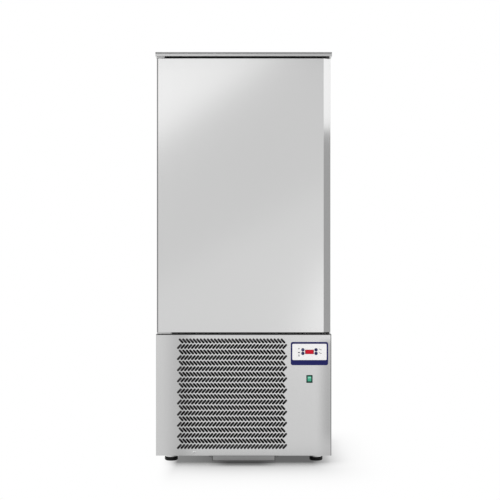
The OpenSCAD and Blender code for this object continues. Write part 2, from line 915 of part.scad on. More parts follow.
// Flanged bushes in the door's end caps
module hinge_bushes() color(white) {
    l = pin_reach + 2;
    for (z = [z_door0, z_door1 - l]) difference() {
        rod_z(pin_x, pin_y, bush_d, z, z + l);
        rod_z(pin_x, pin_y, pin_d + 2 * pin_play, z - eps, z + l + eps);
    }
    for (z = [z_door0 - bush_flange_t, z_door1]) difference() {
        rod_z(pin_x, pin_y, bush_d + 4, z, z + bush_flange_t);
        rod_z(pin_x, pin_y, pin_d + 2 * pin_play, z - eps, z + bush_flange_t + eps);
    }
}

// ---- Front panel and grille ----

module slot() {
    square([slot_l - slot_w, slot_w], center = true);
    for (s = [-1, 1]) translate([s * (slot_l - slot_w) / 2, 0]) circle(slot_w / 2, $fn = 24);
}

// Herringbone of slots: the rows lean left and right in turn
module slots() {
    for (i = [0:rows - 1]) {
        odd = i % 2;
        for (j = [0:slots_in_row - 1 + odd])
            translate([
                -side_x + grille_in + (j + (1 - odd) / 2) * slot_pitch,
                z_box - grille_down - i * row_pitch
            ]) rotate(odd == 1 ? slot_angle : -slot_angle) slot();
    }
}

screw_d = 5;

module front_panel() color(steel) {
    flat_x = side_x - bend_r;
    // the pierced face
    plate_y(y_front, sheet_t) difference() {
        translate([-flat_x, z_base]) square([2 * flat_x, panel_h]);
        slots();
        translate([ctrl_x, ctrl_z]) square([housing_w + 1, housing_h + 1], center = true);
        translate([switch_x, switch_z]) square([switch_body_w + 0.6, switch_body_h + 0.6], center = true);
        translate([-side_x + screw_in, z_base + screw_up]) circle(d = screw_d + 2 * gap);
    }
    // the bends and returns at both sides
    translate([0, 0, z_base]) linear_extrude(panel_h) difference() {
        front_round(side_x, y_front, y_front + panel_return, bend_r);
        front_round(in_x, y_front + sheet_t, y_front + panel_return + eps, bend_r - sheet_t);
        translate([-flat_x, y_front - eps]) square([2 * flat_x, panel_return]);
    }
    // the return along the top
    block([-flat_x, y_front + sheet_t, z_box - sheet_t], [flat_x, y_front + 2 * panel_return, z_box]);
}

// Screw that holds the panel to the base pan
module panel_screw() color(steel) {
    x = -side_x + screw_in;
    z = z_base + screw_up;
    head = 2.4;
    rod_y(x, z, screw_head_d, y_front - head, y_front);
    rod_y(x, z, screw_d, y_front - head, y_pan0 + pan_t + 6);
}

// Frame behind the grille that carries the air filter
module filter_frame() color(grey) {
    y0 = y_front + sheet_t;
    plate_y(y0, filter_lip) difference() {
        translate([filter_x0, filter_z0]) square([filter_x1 - filter_x0, filter_z1 - filter_z0]);
        translate([filter_x0 + filter_flange, filter_z0 + filter_bar])
            square([filter_x1 - filter_x0 - filter_flange - filter_top_flange,
                filter_z1 - filter_z0 - filter_bar - filter_top_flange]);
    }
    plate_y(y0 + filter_lip, filter_frame_d) difference() {
        translate([filter_x0, filter_z0]) square([filter_x1 - filter_x0, filter_z1 - filter_z0]);
        translate([filter_x0 + filter_lip, filter_z0 + filter_lip])
            square([filter_x1 - filter_x0 - 2 * filter_lip, filter_z1 - filter_z0 - 2 * filter_lip]);
    }
}

module air_filter() color(black) {
    y0 = y_front + sheet_t + filter_lip;
    block([filter_x0 + filter_lip, y0, filter_z0 + filter_lip],
        [filter_x1 - filter_lip, y0 + filter_t, filter_z1 - filter_lip]);
}

// ---- Controls ----

// The four round keys' places, as columns and rows of -1 and 1
module at_keys() {
    for (sx = [-1, 1], sz = [-1, 1])
        translate([ctrl_x + sx * key_x, key_z + sz * key_pitch / 2]) children();
}

module face_outline() {
    w = ctrl_w - 2 * face_side;
    h = ctrl_h - face_top - face_low;
    translate([ctrl_x, ctrl_z0 + face_low + h / 2]) rounded(w, h, ctrl_r - 5);
}

module display_outline() {
    translate([ctrl_x, display_z]) rounded(display_w, display_h, 2);
}

module control_bezel() color(navy) {
    difference() {
        plate_y(y_ctrl, ctrl_t) difference() {
            translate([ctrl_x, ctrl_z]) rounded(ctrl_w, ctrl_h, ctrl_r);
            display_outline();
            at_keys() circle(d = key_d + 2 * key_play);
        }
        plate_y(y_ctrl - eps, eps + face_t) face_outline();
    }
}

module control_face() color(white) {
    plate_y(y_ctrl, face_t) difference() {
        face_outline();
        display_outline();
        at_keys() circle(d = key_d + 2 * key_play);
    }
}

module display_window() color(red) {
    plate_y(y_ctrl, ctrl_t) display_outline();
}

module control_housing() color(grey) {
    difference() {
        plate_y(y_front, housing_d)
            translate([ctrl_x, ctrl_z]) square([housing_w, housing_h], center = true);
        plate_y(y_front - eps, housing_d + eps - housing_wall)
            translate([ctrl_x, ctrl_z])
                square([housing_w - 2 * housing_wall, housing_h - 2 * housing_wall], center = true);
    }
}

module control_board() color(dark_green) {
    plate_y(y_board, board_t) translate([ctrl_x, ctrl_z])
        square([housing_w - 2 * housing_wall, housing_h - 2 * housing_wall], center = true);
}

// A key with its flange behind the control panel, in column sx and row sz
module key(sx, sz) color(navy) {
    x = ctrl_x + sx * key_x;
    z = key_z + sz * key_pitch / 2;
    rod_y(x, z, key_d, y_ctrl - key_proud, y_key1);
    rod_y(x, z, key_d + key_flange, y_front + gap, y_front + gap + key_flange_t);
}

module switch_rim() color(dark_green) {
    plate_y(y_ctrl, ctrl_t) translate([switch_x, switch_z]) difference() {
        rounded(switch_w, switch_h, 2);
        square([switch_well_w, switch_well_h], center = true);
    }
}

module switch_body() color(black) {
    difference() {
        plate_y(y_front, switch_d) translate([switch_x, switch_z])
            square([switch_body_w, switch_body_h], center = true);
        plate_y(y_front - eps, switch_d + eps - switch_floor) translate([switch_x, switch_z])
            square([switch_well_w, switch_well_h], center = true);
        translate([switch_x - switch_body_w / 2 - eps, rocker_y, switch_z]) rotate([0, 90, 0])
            cylinder(d = rocker_pin_d + 2 * pin_play, h = switch_body_w + 2 * eps);
    }
}

// The rocker rests with its upper half pressed in
module switch_rocker() color(green) {
    h = rocker_h / 2;
    translate([switch_x, rocker_y, switch_z]) rotate([-rocker_tilt, 0, 0]) {
        bar_x(-rocker_w / 2, rocker_w) polygon([
            [-rocker_face, h], [-rocker_face + rocker_dish, 0], [-rocker_face, -h],
            [-rocker_edge, -h], [rocker_back, -h / 3], [rocker_back, h / 3], [-rocker_edge, h]
        ]);
        translate([-switch_body_w / 2 + 0.2, 0, 0]) rotate([0, 90, 0])
            cylinder(d = rocker_pin_d, h = switch_body_w - 0.4);
    }
}

// ---- Feet and drip tray ----

// A levelling foot at x and y: a rubber pad with a steel collar and stem
module foot(x, y) color(black) {
    translate([x, y, 0]) {
        rotate_extrude() {
            square([foot_d / 2 - foot_r, foot_pad_h]);
            translate([0, foot_r]) square([foot_d / 2, foot_pad_h - foot_r]);
            translate([foot_d / 2 - foot_r, foot_r]) circle(foot_r);
        }
        cylinder(d = foot_collar_d, h = z_base - gap);
        cylinder(d = stem_d, h = z_pan1 + sleeve_h - stem_down);
    }
}

module foot_sleeves() color(zinc) {
    for (x = [-foot_x, foot_x], y = [foot_y0, foot_y1]) difference() {
        rod_z(x, y, stem_d + 2 * (pin_play + sleeve_wall), z_pan1, z_pan1 + sleeve_h);
        rod_z(x, y, stem_d + 2 * pin_play, z_pan1 - eps, z_pan1 + sleeve_h + eps);
    }
}

module drip_tray() color(dark_steel) {
    x = drip_w / 2;
    difference() {
        union() {
            block([-x, drip_y0, drip_z0], [x, drip_y0 + drip_l, drip_z1]);
            block([-x - drip_rim, drip_y0 + rim_back, rim_z],
                [x + drip_rim, drip_y0 + drip_l, rim_z + rim_t]);
        }
        block([-x + drip_t, drip_y0 + drip_t, drip_z0 + drip_t],
            [x - drip_t, drip_y0 + drip_l - drip_t, drip_z1 + eps]);
    }
}

// ---- Inside the cold chamber ----

// The right-hand rack: two channel uprights and an angle for each tray level
module rack_side() {
    for (y = [rack_y0 + upright_in, rack_y0 + ledge_l - upright_in - upright_w]) difference() {
        block([rack_x + rack_t, y, rack_z0], [cav_x, y + upright_w, rack_z1]);
        block([rack_x + 2 * rack_t, y + rack_t, rack_z0 - eps],
            [cav_x + eps, y + upright_w - rack_t, rack_z1 + eps]);
    }
    for (i = [0:levels - 1]) {
        z = first_level + i * level_pitch;
        block([rack_x, rack_y0, z], [rack_x + rack_t, rack_y0 + ledge_l, z + ledge_h]);
        block([rack_x - ledge_w, rack_y0, z], [rack_x, rack_y0 + ledge_l, z + rack_t]);
    }
}

module rack_right() color(steel) rack_side();

module rack_left() color(steel) mirror([1, 0, 0]) rack_side();

// Plan of a fin block from x0 to x1 and y0 to y1: upright fins on a web of tubes
module fins(x0, x1, y0, y1, pitch) {
    fin_t = 1;
    web_t = 4;
    translate([x0, (y0 + y1 - web_t) / 2]) square([x1 - x0, web_t]);
    for (x = [x0 + pitch / 2:pitch:x1 - fin_t]) translate([x, y0]) square([fin_t, y1 - y0]);
}

// Half ring of tube that joins two runs of a coil
module return_bend() {
    rotate_extrude(angle = 180) translate([return_r, 0]) circle(d = tube_d);
}

// The fins between their two end plates, with the return bends at the left
module evaporator_coil() color([0.75, 0.77, 0.8]) {
    translate([0, 0, coil_z0]) linear_extrude(coil_z1 - coil_z0)
        fins(-coil_x, coil_x, y_coil0, y_coil1, fin_pitch);
    for (s = [-1, 1])
        translate([s * (coil_x + coil_plate / 2), 0, 0])
            block([-coil_plate / 2, y_coil0 - coil_lap, coil_z0 - coil_lap],
                [coil_plate / 2, y_cav1, coil_z1 + coil_lap]);
    for (z = [coil_z0 + coil_row_up:coil_row:coil_z1 - coil_row_down],
            y = [y_coil0 + coil_d / 4, y_coil1 - coil_d / 4])
        translate([-coil_x - coil_plate, y, z]) rotate([90, 0, 0]) rotate([0, 0, 90]) return_bend();
}

// Height of fan number i above the floor
function fan_z(i) = fan_z0 + (i + 0.5) * fan_pitch;

module fan_panel() color(steel) {
    plate_y(y_fans, sheet_t) difference() {
        translate([-cav_x, fan_z0]) square([2 * cav_x, fan_z1 - fan_z0]);
        for (i = [0:fans - 1]) translate([0, fan_z(i)]) circle(d = fan_hole_d, $fn = 96);
    }
    for (s = [-1, 1])
        translate([s * (cav_x - sheet_t / 2), 0, 0])
            block([-sheet_t / 2, y_fans + sheet_t, fan_z0], [sheet_t / 2, y_fans + fan_flange, fan_z1]);
}

// Flat stamped guards of rings and spokes in front of the fan openings
module fan_guards() color(steel) {
    rings = 6;
    outer = fan_hole_d / 2 + guard_lap;
    for (i = [0:fans - 1])
        plate_y(y_fans - guard_t, guard_t) translate([0, fan_z(i)]) {
            for (k = [1:rings]) difference() {
                circle(outer * k / rings, $fn = 96);
                circle(outer * k / rings - guard_ring, $fn = 96);
            }
            for (a = [45, 135]) rotate(a) square([2 * outer - guard_ring, guard_ring], center = true);
        }
}

// Motors on cross plates, each held off the fan panel by four legs
module fan_motors() color(grey) {
    y1 = y_fans + sheet_t + motor_stand;
    arm = fan_hole_d / 2 + leg_out;
    for (i = [0:fans - 1]) {
        plate_y(y1, plate_t) translate([0, fan_z(i)]) for (a = [45, 135])
            rotate(a) square([2 * (arm + leg_d) - 4, plate_w], center = true);
        for (a = [45:90:315])
            rod_y(arm * cos(a), fan_z(i) + arm * sin(a), leg_d, y_fans + sheet_t, y1);
        rod_y(0, fan_z(i), motor_d, y1 + plate_t, y1 + plate_t + motor_l);
        rod_y(0, fan_z(i), shaft_d, y1 - rotor_gap - rotor_t + shaft_in, y1 + plate_t);
    }
}

// A fan's hub and pitched blades, with its axis along Y and its back at y1
module rotor(x, z, d, hub, depth, blades, y1) {
    blade = (d - hub) / 2;
    difference() {
        union() {
            rod_y(x, z, hub, y1 - depth, y1);
            translate([x, y1 - depth / 2, z]) for (a = [0:360 / blades:359]) rotate([0, a, 0])
                translate([hub / 2 - 2, 0, 0]) rotate([32, 0, 0])
                    translate([0, -1, -depth * 0.75]) cube([blade, 2, depth * 1.5]);
        }
        rod_y(x, z, shaft_d + 2 * pin_play, y1 - depth + shaft_in - gap, y1 + eps);
    }
}

module fan_rotor(i) color(black) {
    rotor(0, fan_z(i), fan_d, hub_d, rotor_t, 5, y_fans + sheet_t + motor_stand - rotor_gap);
}

// ---- Machine compartment ----

module condenser_coil() color(dark_steel) {
    translate([0, 0, cond_z0]) linear_extrude(cond_h)
        fins(cond_x0, cond_x1, cond_y0, cond_y1, fin_pitch);
    for (x = [cond_x0 - coil_plate, cond_x1])
        block([x, cond_y0, z_pan1], [x + coil_plate, cond_y1, cond_z0 + cond_h]);
    for (z = [cond_z0 + cond_row_up:cond_row:cond_z0 + cond_h - cond_row_down])
        translate([cond_x1 + coil_plate, cond_y0 + cond_d / 2, z]) rotate([90, 0, 0])
            rotate([0, 0, -90]) return_bend();
}

// Box behind the condenser that leads the air to the fan
module condenser_shroud() color(black) {
    difference() {
        block([cond_x0, cond_y1, cond_z0], [cond_x1, shroud_y1, cond_z0 + cond_h]);
        block([cond_x0 + shroud_t, cond_y1 - eps, cond_z0 + shroud_t],
            [cond_x1 - shroud_t, shroud_y1 - shroud_t, cond_z0 + cond_h - shroud_t]);
        translate([cond_x, shroud_y1 - shroud_t - eps, cond_z]) rotate([-90, 0, 0])
            cylinder(d = cond_hole_d, h = shroud_t + 2 * eps, $fn = 96);
    }
}

// Motor on a bracket that stands on the base pan
module condenser_motor() color(grey) {
    y1 = cond_motor_y0 + cond_motor_l;
    rod_y(cond_x, cond_z, cond_motor_d, cond_motor_y0, y1);
    x0 = cond_x - bracket_w / 2;
    rod_y(cond_x, cond_z, shaft_d, cond_rotor_y1 - cond_rotor_t + shaft_in, cond_motor_y0);
    block([x0, y1, z_pan1], [x0 + bracket_w, y1 + bracket_t, cond_z + bracket_w / 2]);
    block([x0, y1 + bracket_t, z_pan1], [x0 + bracket_w, y1 + bracket_t + bracket_l, z_pan1 + bracket_t]);
}

module condenser_rotor() color(black) {
    rotor(cond_x, cond_z, cond_fan_d, hub_d, cond_rotor_t, 5, cond_rotor_y1);
}

module compressor() color(black) {
    dome_r = 0.75 * comp_d;
    foot = comp_d / 2 + 10;
    translate([comp_x, comp_y, 0]) {
        intersection() {
            translate([0, 0, comp_z0]) cylinder(d = comp_d, h = comp_h);
            union() {
                translate([0, 0, comp_z1 - dome_r]) sphere(dome_r);
                translate([0, 0, comp_z0]) cylinder(d = comp_d, h = comp_h - dome_r);
            }
        }
        translate([0, 0, suction_z]) rotate([0, 90, 0])
            cylinder(d = suction_d + 4, h = comp_d / 2 + stub_l);
        translate([0, 0, comp_z1 - stub_l]) cylinder(d = liquid_d + 4, h = 2 * stub_l);
        translate([0, 0, comp_z0 - comp_foot_t / 2])
            cube([2 * foot, 1.8 * foot, comp_foot_t], center = true);
        for (sx = [-1, 1], sy = [-1, 1])
            translate([sx * (foot - 16), sy * (0.9 * foot - 16), z_pan1])
                cylinder(d = 28, h = comp_mount_h);
    }
}

// A straight pipe from a to b, along one axis
module pipe_run(a, b, d) {
    l = norm(b - a);
    v = (b - a) / l;
    translate(a) rotate([v[1] != 0 ? -90 * v[1] : v[2] < 0 ? 180 : 0, v[0] != 0 ? 90 * v[0] : 0, 0])
        cylinder(d = d, h = l);
}

// A pipe through a list of points, with ball elbows at its inner points
module pipe(points, d) {
    last = len(points) - 1;
    for (i = [0:last - 1]) pipe_run(points[i], points[i + 1], d);
    for (i = [1:last - 1]) translate(points[i]) sphere(d = d);
}

// Receiver, drier and the four pipes of the refrigerant's loop
module refrigerant_pipes() color(copper) {
    cond_my = cond_y0 + cond_d / 2;
    pipe([[comp_x + comp_d / 2 + stub_l, comp_y, suction_z], [riser_x, comp_y, suction_z],
        [riser_x, comp_y, cross_z], [header_x, comp_y, cross_z], [header_x, suction_y, cross_z],
        [header_x, suction_y, coil_z1 - suction_in]], suction_d);
    pipe([[receiver_x, receiver_y, z_pan1 + receiver_h], [receiver_x, receiver_y, liquid_z],
        [header_x, receiver_y, liquid_z], [header_x, receiver_y, coil_z1 - liquid_in]], liquid_d);
    pipe([[comp_x, comp_y, comp_z1 + stub_l], [comp_x, comp_y, liquid_z], [pipe_x, comp_y, liquid_z],
        [pipe_x, cond_my, liquid_z], [cond_x0 - coil_plate, cond_my, liquid_z]], liquid_d);
    pipe([[cond_x0 - coil_plate, cond_my, low_z], [pipe_x, cond_my, low_z],
        [pipe_x, receiver_y, low_z], [receiver_x, receiver_y, low_z]], liquid_d);
    rod_z(receiver_x, receiver_y, receiver_d, z_pan1, z_pan1 + receiver_h);
    rod_z(receiver_x, receiver_y, drier_d, liquid_z - drier_l - drier_down, liquid_z - drier_down);
}

module electrical_box() color(grey) {
    x0 = in_x - ebox_w;
    y0 = y_front + ebox_back;
    y1 = y0 + ebox_d;
    z0 = z_pan1 + ebox_up;
    z1 = z0 + ebox_h;
    t = ebox_t;
    difference() {
        block([x0, y0, z0], [in_x, y1, z1]);
        block([x0 + t, y0 - eps, z0 + t], [in_x - t, y1 - t, z1 - t]);
    }
    block([x0, y0 - t, z0], [in_x, y0, z1]);
}

// ---- Door ----

// Section of the door's body left of the grip, drawn in by i
module door_section(i) {
    r = bend_r - i;
    x0 = -door_x + i;
    x1 = door_x - grip_w - i;
    y0 = y_front + i;
    translate([x0, y0 + r]) square([x1 - x0, y_door1 - i - y0 - r]);
    translate([x0 + r, y0]) square([x1 - x0 - r, y_door1 - i - y0]);
    translate([x0 + r, y0 + r]) circle(r);
}

module door_skin() color(steel) {
    translate([0, 0, z_door0]) linear_extrude(z_door1 - z_door0) difference() {
        door_section(0);
        door_section(sheet_t);
        translate([-door_x + sheet_t, y_door1 - 2 * sheet_t])
            square([2 * door_x - grip_w - 2 * sheet_t, 3 * sheet_t]);
    }
}

module door_liner() color(steel) {
    block([-door_x + sheet_t, y_door1 - sheet_t, z_door0],
        [door_x - grip_w - sheet_t, y_door1, z_door1]);
}

module door_foam() color(foam) {
    translate([0, 0, z_door0 + door_cap_h]) linear_extrude(z_door1 - z_door0 - 2 * door_cap_h)
        door_section(sheet_t);
}

// Plastic blocks that close the door's ends and hold the hinge bushes
module door_caps() color(grey) {
    for (z = [z_door0, z_door1 - door_cap_h]) difference() {
        translate([0, 0, z]) linear_extrude(door_cap_h) door_section(sheet_t);
        rod_z(pin_x, pin_y, bush_d + 2 * pin_play, z - eps, z + door_cap_h + eps);
    }
}

// Extrusion along the door's right edge: a slanted face in front of a finger channel
module door_grip() color(steel) {
    x0 = door_x - grip_w;
    y_lip = y_front + grip_fall + grip_lip;
    y_rear = y_lip + finger_w;
    w = grip_wall;
    translate([0, 0, z_door0]) linear_extrude(z_door1 - z_door0) difference() {
        polygon([[x0, y_front], [door_x, y_front + grip_fall], [door_x, y_door1], [x0, y_door1]]);
        translate([door_x - finger_d, y_lip]) square([finger_d + eps, finger_w]);
        translate([x0 + w, y_rear + w]) square([grip_w - 2 * w, y_door1 - y_rear - 2 * w]);
    }
}

module door_gasket() color(grey) {
    w = 2 * (cav_x + gasket_lap);
    h = z_cav1 - z_cav0 + 2 * gasket_lap;
    plate_y(y_door1, gasket_h - gap) translate([0, (z_cav0 + z_cav1) / 2]) difference() {
        rounded(w + 2 * gasket_w, h + 2 * gasket_w, liner_r + gasket_w);
        rounded(w, h, liner_r);
    }
}

outer_casing();
worktop();
worktop_core();
cabinet_insulation();
inner_liner();
liner_coves();
door_frame();
box_underside();
front_rail();
base_pan();
drain_pipe();
rear_grille();
cable_glands();
hinge_brackets();
hinge_pins();
front_panel();
panel_screw();
filter_frame();
air_filter();
control_bezel();
control_face();
display_window();
control_housing();
control_board();
key(-1, 1);  // key_upper_left
key(-1, -1);  // key_lower_left
key(1, 1);  // key_upper_right
key(1, -1);  // key_lower_right
switch_rim();
switch_body();
switch_rocker();
foot(-foot_x, foot_y0);  // foot_front_left
foot(foot_x, foot_y0);  // foot_front_right
foot(-foot_x, foot_y1);  // foot_rear_left
foot(foot_x, foot_y1);  // foot_rear_right
foot_sleeves();
drip_tray();
rack_left();
rack_right();
evaporator_coil();
fan_panel();
fan_guards();
fan_motors();
fan_rotor(0);  // fan_rotor_1
fan_rotor(1);  // fan_rotor_2
fan_rotor(2);  // fan_rotor_3
condenser_coil();
condenser_shroud();
condenser_motor();
condenser_rotor();
compressor();
refrigerant_pipes();
electrical_box();
door_skin();
door_liner();
door_foam();
door_caps();
door_grip();
door_gasket();
hinge_bushes();
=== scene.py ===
# %% [markdown]
# # A blast chiller, dressed for the studio
# The solids of this cabinet come from a CAD model, and they arrive here as a fixed frame:
# every sheet, hinge and fan already has its true place and size, in metres. This lesson adds
# the looks: the brushed sheet metal, the printed controls, the wire guards and finned coils.
# Nothing that is added here may grow past it.

# %% Load the frame
import math

import bmesh
import bpy
from mathutils import Matrix, Vector


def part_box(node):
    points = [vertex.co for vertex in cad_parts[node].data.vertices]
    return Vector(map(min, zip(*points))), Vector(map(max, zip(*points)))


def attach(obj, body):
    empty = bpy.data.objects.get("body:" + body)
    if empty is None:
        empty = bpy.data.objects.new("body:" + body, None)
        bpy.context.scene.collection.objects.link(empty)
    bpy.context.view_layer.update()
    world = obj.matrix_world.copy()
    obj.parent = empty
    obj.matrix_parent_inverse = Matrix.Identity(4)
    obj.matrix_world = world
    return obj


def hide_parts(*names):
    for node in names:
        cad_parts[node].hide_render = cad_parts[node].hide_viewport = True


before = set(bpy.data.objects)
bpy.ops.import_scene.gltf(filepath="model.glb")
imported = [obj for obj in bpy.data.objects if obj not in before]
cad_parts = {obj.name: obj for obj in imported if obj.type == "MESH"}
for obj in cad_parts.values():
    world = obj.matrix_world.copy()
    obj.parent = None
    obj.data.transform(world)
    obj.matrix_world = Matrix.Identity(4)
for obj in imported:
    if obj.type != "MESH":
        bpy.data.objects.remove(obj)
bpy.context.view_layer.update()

scene = bpy.context.scene
MM = 0.001

# %% [markdown]
# ## The camera
# The photograph looks straight at the door from about six metres, with the lens a little
# above half height: the worktop's upper face can't be seen, and the floor can. A long lens
# gives that flat view. The small shift puts the cabinet where the photograph has it, which
# keeps the upright edges parallel; tilting the camera would make them lean.

# %% Camera in front of the door
FRONT = -396          # plane of the door's and the panel's front, in mm
DISTANCE = 6000       # from that plane to the lens
EYE_HEIGHT = 930
VIEW_WIDTH = 2250     # what the picture spans at that plane
VIEW_MIDDLE = (28.5, 958.3)


def place(x, y, z):
    """A point of the frame, given in millimetres."""
    return Vector((x, y, z)) * MM


lens = bpy.data.cameras.new("front_lens")
lens.sensor_width = 36
lens.lens = lens.sensor_width * DISTANCE / VIEW_WIDTH
lens.shift_x = VIEW_MIDDLE[0] / VIEW_WIDTH
lens.shift_y = (VIEW_MIDDLE[1] - EYE_HEIGHT) / VIEW_WIDTH
camera = bpy.data.objects.new("front_camera", lens)
camera.location = place(0, FRONT - DISTANCE, EYE_HEIGHT)
camera.rotation_euler = (math.pi / 2, 0, 0)
scene.collection.objects.link(camera)
scene.camera = camera
scene.view_settings.view_transform = "Standard"
print("lens:", round(lens.lens, 1), "mm, shift:", round(lens.shift_x, 4), round(lens.shift_y, 4))

# %% [markdown]
# ## Wiring nodes as sums
# Materials, the world and the shape recipes are all node trees. Written node by node they
# grow long, so one small class stands for a socket, and sums written with it add the Math
# nodes. A second class adds any other node: its settings first, then its sockets.

# %% A socket that can be calculated with
class Wire:
    """One output socket. Sums, products and comparisons of wires add Math nodes."""

    def __init__(self, bench, socket):
        self.bench, self.socket = bench, socket

    def _math(self, operation, a, b=0.0):
        return self.bench.node("ShaderNodeMath", {"operation": operation}, [a, b])

    def __add__(self, other):
        return self._math("ADD", self, other)

    def __sub__(self, other):
        return self._math("SUBTRACT", self, other)

    def __rsub__(self, other):
        return self._math("SUBTRACT", other, self)

    def __mul__(self, other):
        return self._math("MULTIPLY", self, other)

    def __truediv__(self, other):
        return self._math("DIVIDE", self, other)

    def __pow__(self, other):
        return self._math("POWER", self, other)

    def __gt__(self, other):
        return self._math("GREATER_THAN", self, other)

    def __lt__(self, other):
        return self._math("LESS_THAN", self, other)

    def __abs__(self):
        return self._math("ABSOLUTE", self)

    def floor(self):
        return self._math("FLOOR", self)

    def at_least(self, other):
        return self._math("MAXIMUM", self, other)

    def at_most(self, other):
        return self._math("MINIMUM", self, other)

    __radd__, __rmul__ = __add__, __mul__


# %% A bench that any node tree is wired on
class Bench:
    """Adds nodes to one tree."""

    def __init__(self, tree):
        self.tree = tree

    def node(self, kind, settings=None, inputs=(), out=0):
        made = self.tree.nodes.new(kind)
        for name, value in (settings or {}).items():
            setattr(made, name, value)
        pairs = inputs.items() if isinstance(inputs, dict) else enumerate(inputs)
        for key, value in pairs:
            if isinstance(value, Wire):
                self.tree.links.new(value.socket, made.inputs[key])
            elif value is not None:
                made.inputs[key].default_value = value
        return Wire(self, made.outputs[out]) if len(made.outputs) else None

    def ramp(self, value, low, high, smooth=True):
        """0 below low and 1 above high, along one value."""
        kind = "SMOOTHSTEP" if smooth else "LINEAR"
        return self.node("ShaderNodeMapRange", {"interpolation_type": kind},
                         {0: value, 1: low, 2: high})

    def axes(self, vector):
        split = self.node("ShaderNodeSeparateXYZ", inputs=[vector]).socket.node
        return [Wire(self, socket) for socket in split.outputs]


print("wiring ready")

# %% [markdown]
# ## The studio
# The photograph has a white background and a floor that is nearly white, with a dark contact
# shadow under the cabinet. The world is white wherever it is seen or mirrored, and a little
# weaker as light, so pale plastic keeps its tone. The floor is a matt plate that catches the
# shadow; the Ambient Occlusion node deepens it right at the sheets and feet, and a painted
# shadow darkens the floor still more before the drip tray's front edge. Past the reach of the
# shadow the floor turns into the white of the background, sooner on the left, where the light
# comes from.

# %% White world
FILL = 0.94           # strength of the world as light
world = bpy.data.worlds.new("white_studio")
scene.world = world
world.use_nodes = True
world.node_tree.nodes.clear()
bench = Bench(world.node_tree)


def seen_rays(on):
    """1 for rays that show a surface to the eye, in a mirror or through glass."""
    path = on.node("ShaderNodeLightPath").socket.node
    seen = [Wire(on, path.outputs[name]) for name in
            ("Is Camera Ray", "Is Glossy Ray", "Is Transmission Ray")]
    return (seen[0] + seen[1] + seen[2]) > 0.5


sky = bench.node("ShaderNodeBackground",
                 inputs={"Color": (1, 1, 1, 1), "Strength": FILL + seen_rays(bench) * (1 - FILL)})
bench.node("ShaderNodeOutputWorld", inputs={"Surface": sky})
print("world light:", FILL)

# %% Flat stage pieces
def stage_sheet(name, corners, material, only_mirrored=False):
    """A four-cornered sheet that belongs to the studio; some are there for reflections only."""
    mesh = bpy.data.meshes.new(name)
    mesh.from_pydata([place(*c) for c in corners], [], [(0, 1, 2, 3)])
    mesh.materials.append(material)
    sheet = bpy.data.objects.new(name, mesh)
    scene.collection.objects.link(sheet)
    if only_mirrored:
        sheet.visible_camera = sheet.visible_diffuse = False
        sheet.visible_shadow = sheet.visible_transmission = False


def level_corners(half, front, back, height):
    """The corners of a level sheet that reaches as far to the left as to the right."""
    return [(-half, front, height), (half, front, height), (half, back, height), (-half, back, height)]


def blank(name):
    """A material whose node tree is still empty."""
    material = bpy.data.materials.new(name)
    material.use_nodes = True
    material.node_tree.nodes.clear()
    return material


def glow(name, level):
    """A card of one even brightness."""
    material = blank(name)
    on = Bench(material.node_tree)
    light = on.node("ShaderNodeEmission", inputs={"Color": (level, level, level, 1)})
    on.node("ShaderNodeOutputMaterial", inputs={"Surface": light})
    return material


# %% Floor that fades into white
FLOOR_TONE = 0.87
CONTACT = 0.12        # how near something has to be to deepen the shadow, in metres
DEEPEN = 1.6          # how strongly it does so
# From where the shadow fades on each side, and over which length, in metres
SHADOW = {"left": (-0.3, 0.1), "right": (0.31, 0.42), "front": (-0.49, 0.8), "back": (0.4, 0.6)}
BOUNCE = 0.13         # what the shadow keeps of the white around it
BOUNCE_LEFT = 0.09    # how much more of it there is on the side of the light
LEFTWARDS = (0.05, 0.3)           # over this distance to the left it grows
TRAY_SHADOW = 0.6     # how dark the painted shadow on the floor before the tray's front edge is
TRAY_BEFORE = (-0.52, -0.42)      # over these y its shadow comes
TRAY_BEHIND = (-0.36, -0.33)      # and over these it goes
TRAY_ASIDE = (0.06, 0.17)         # and over these distances from the middle
floor_material = blank("pale_floor")
bench = Bench(floor_material.node_tree)
x, y, z = bench.axes(bench.node("ShaderNodeTexCoord", out="Object"))


def beyond(side, along, sign):
    """How far a point lies past one side of the shadow, as a share of the fading there."""
    start, reach = SHADOW[side]
    return ((along - start) * (sign / reach)).at_least(0)


sideways = beyond("left", x, -1) + beyond("right", x, 1)
lengthways = beyond("front", y, -1) + beyond("back", y, 1)
faded = bench.ramp((sideways ** 2 + lengthways ** 2) ** 0.5, 0.0, 1.0, smooth=False)
near = bench.node("ShaderNodeAmbientOcclusion", {"samples": 8}, {"Distance": CONTACT}, out="AO")
# a painted shadow on the floor, darkest just before the drip tray's front edge
painted_tray_shadow = bench.ramp(y, *TRAY_BEFORE) * (1 - bench.ramp(y, *TRAY_BEHIND))
painted_tray_shadow = painted_tray_shadow * (1 - bench.ramp(abs(x), *TRAY_ASIDE))
painted_shadow_factor = 1 - painted_tray_shadow * TRAY_SHADOW
matt = bench.node("ShaderNodeBsdfDiffuse", inputs={"Color": bench.node(
    "ShaderNodeMix", {"data_type": "RGBA"},
    {0: near ** DEEPEN * painted_shadow_factor, 6: (0, 0, 0, 1), 7: (FLOOR_TONE,) * 3 + (1,)}, out=2)})
white = bench.node("ShaderNodeEmission", inputs={"Color": (1, 1, 1, 1)})
bounce = (bench.ramp(x * -1, *LEFTWARDS) * BOUNCE_LEFT + BOUNCE) * painted_shadow_factor
away = (1 - (1 - bounce) * (1 - faded) ** 3) * seen_rays(bench)
both = bench.node("ShaderNodeMixShader", inputs=[away, matt, white])
bench.node("ShaderNodeOutputMaterial", inputs={"Surface": both})
REACH = 40000         # from the middle to the floor's edges, in mm
stage_sheet("floor", level_corners(REACH, -REACH, REACH, 0), floor_material)
print("floor tone:", FLOOR_TONE)

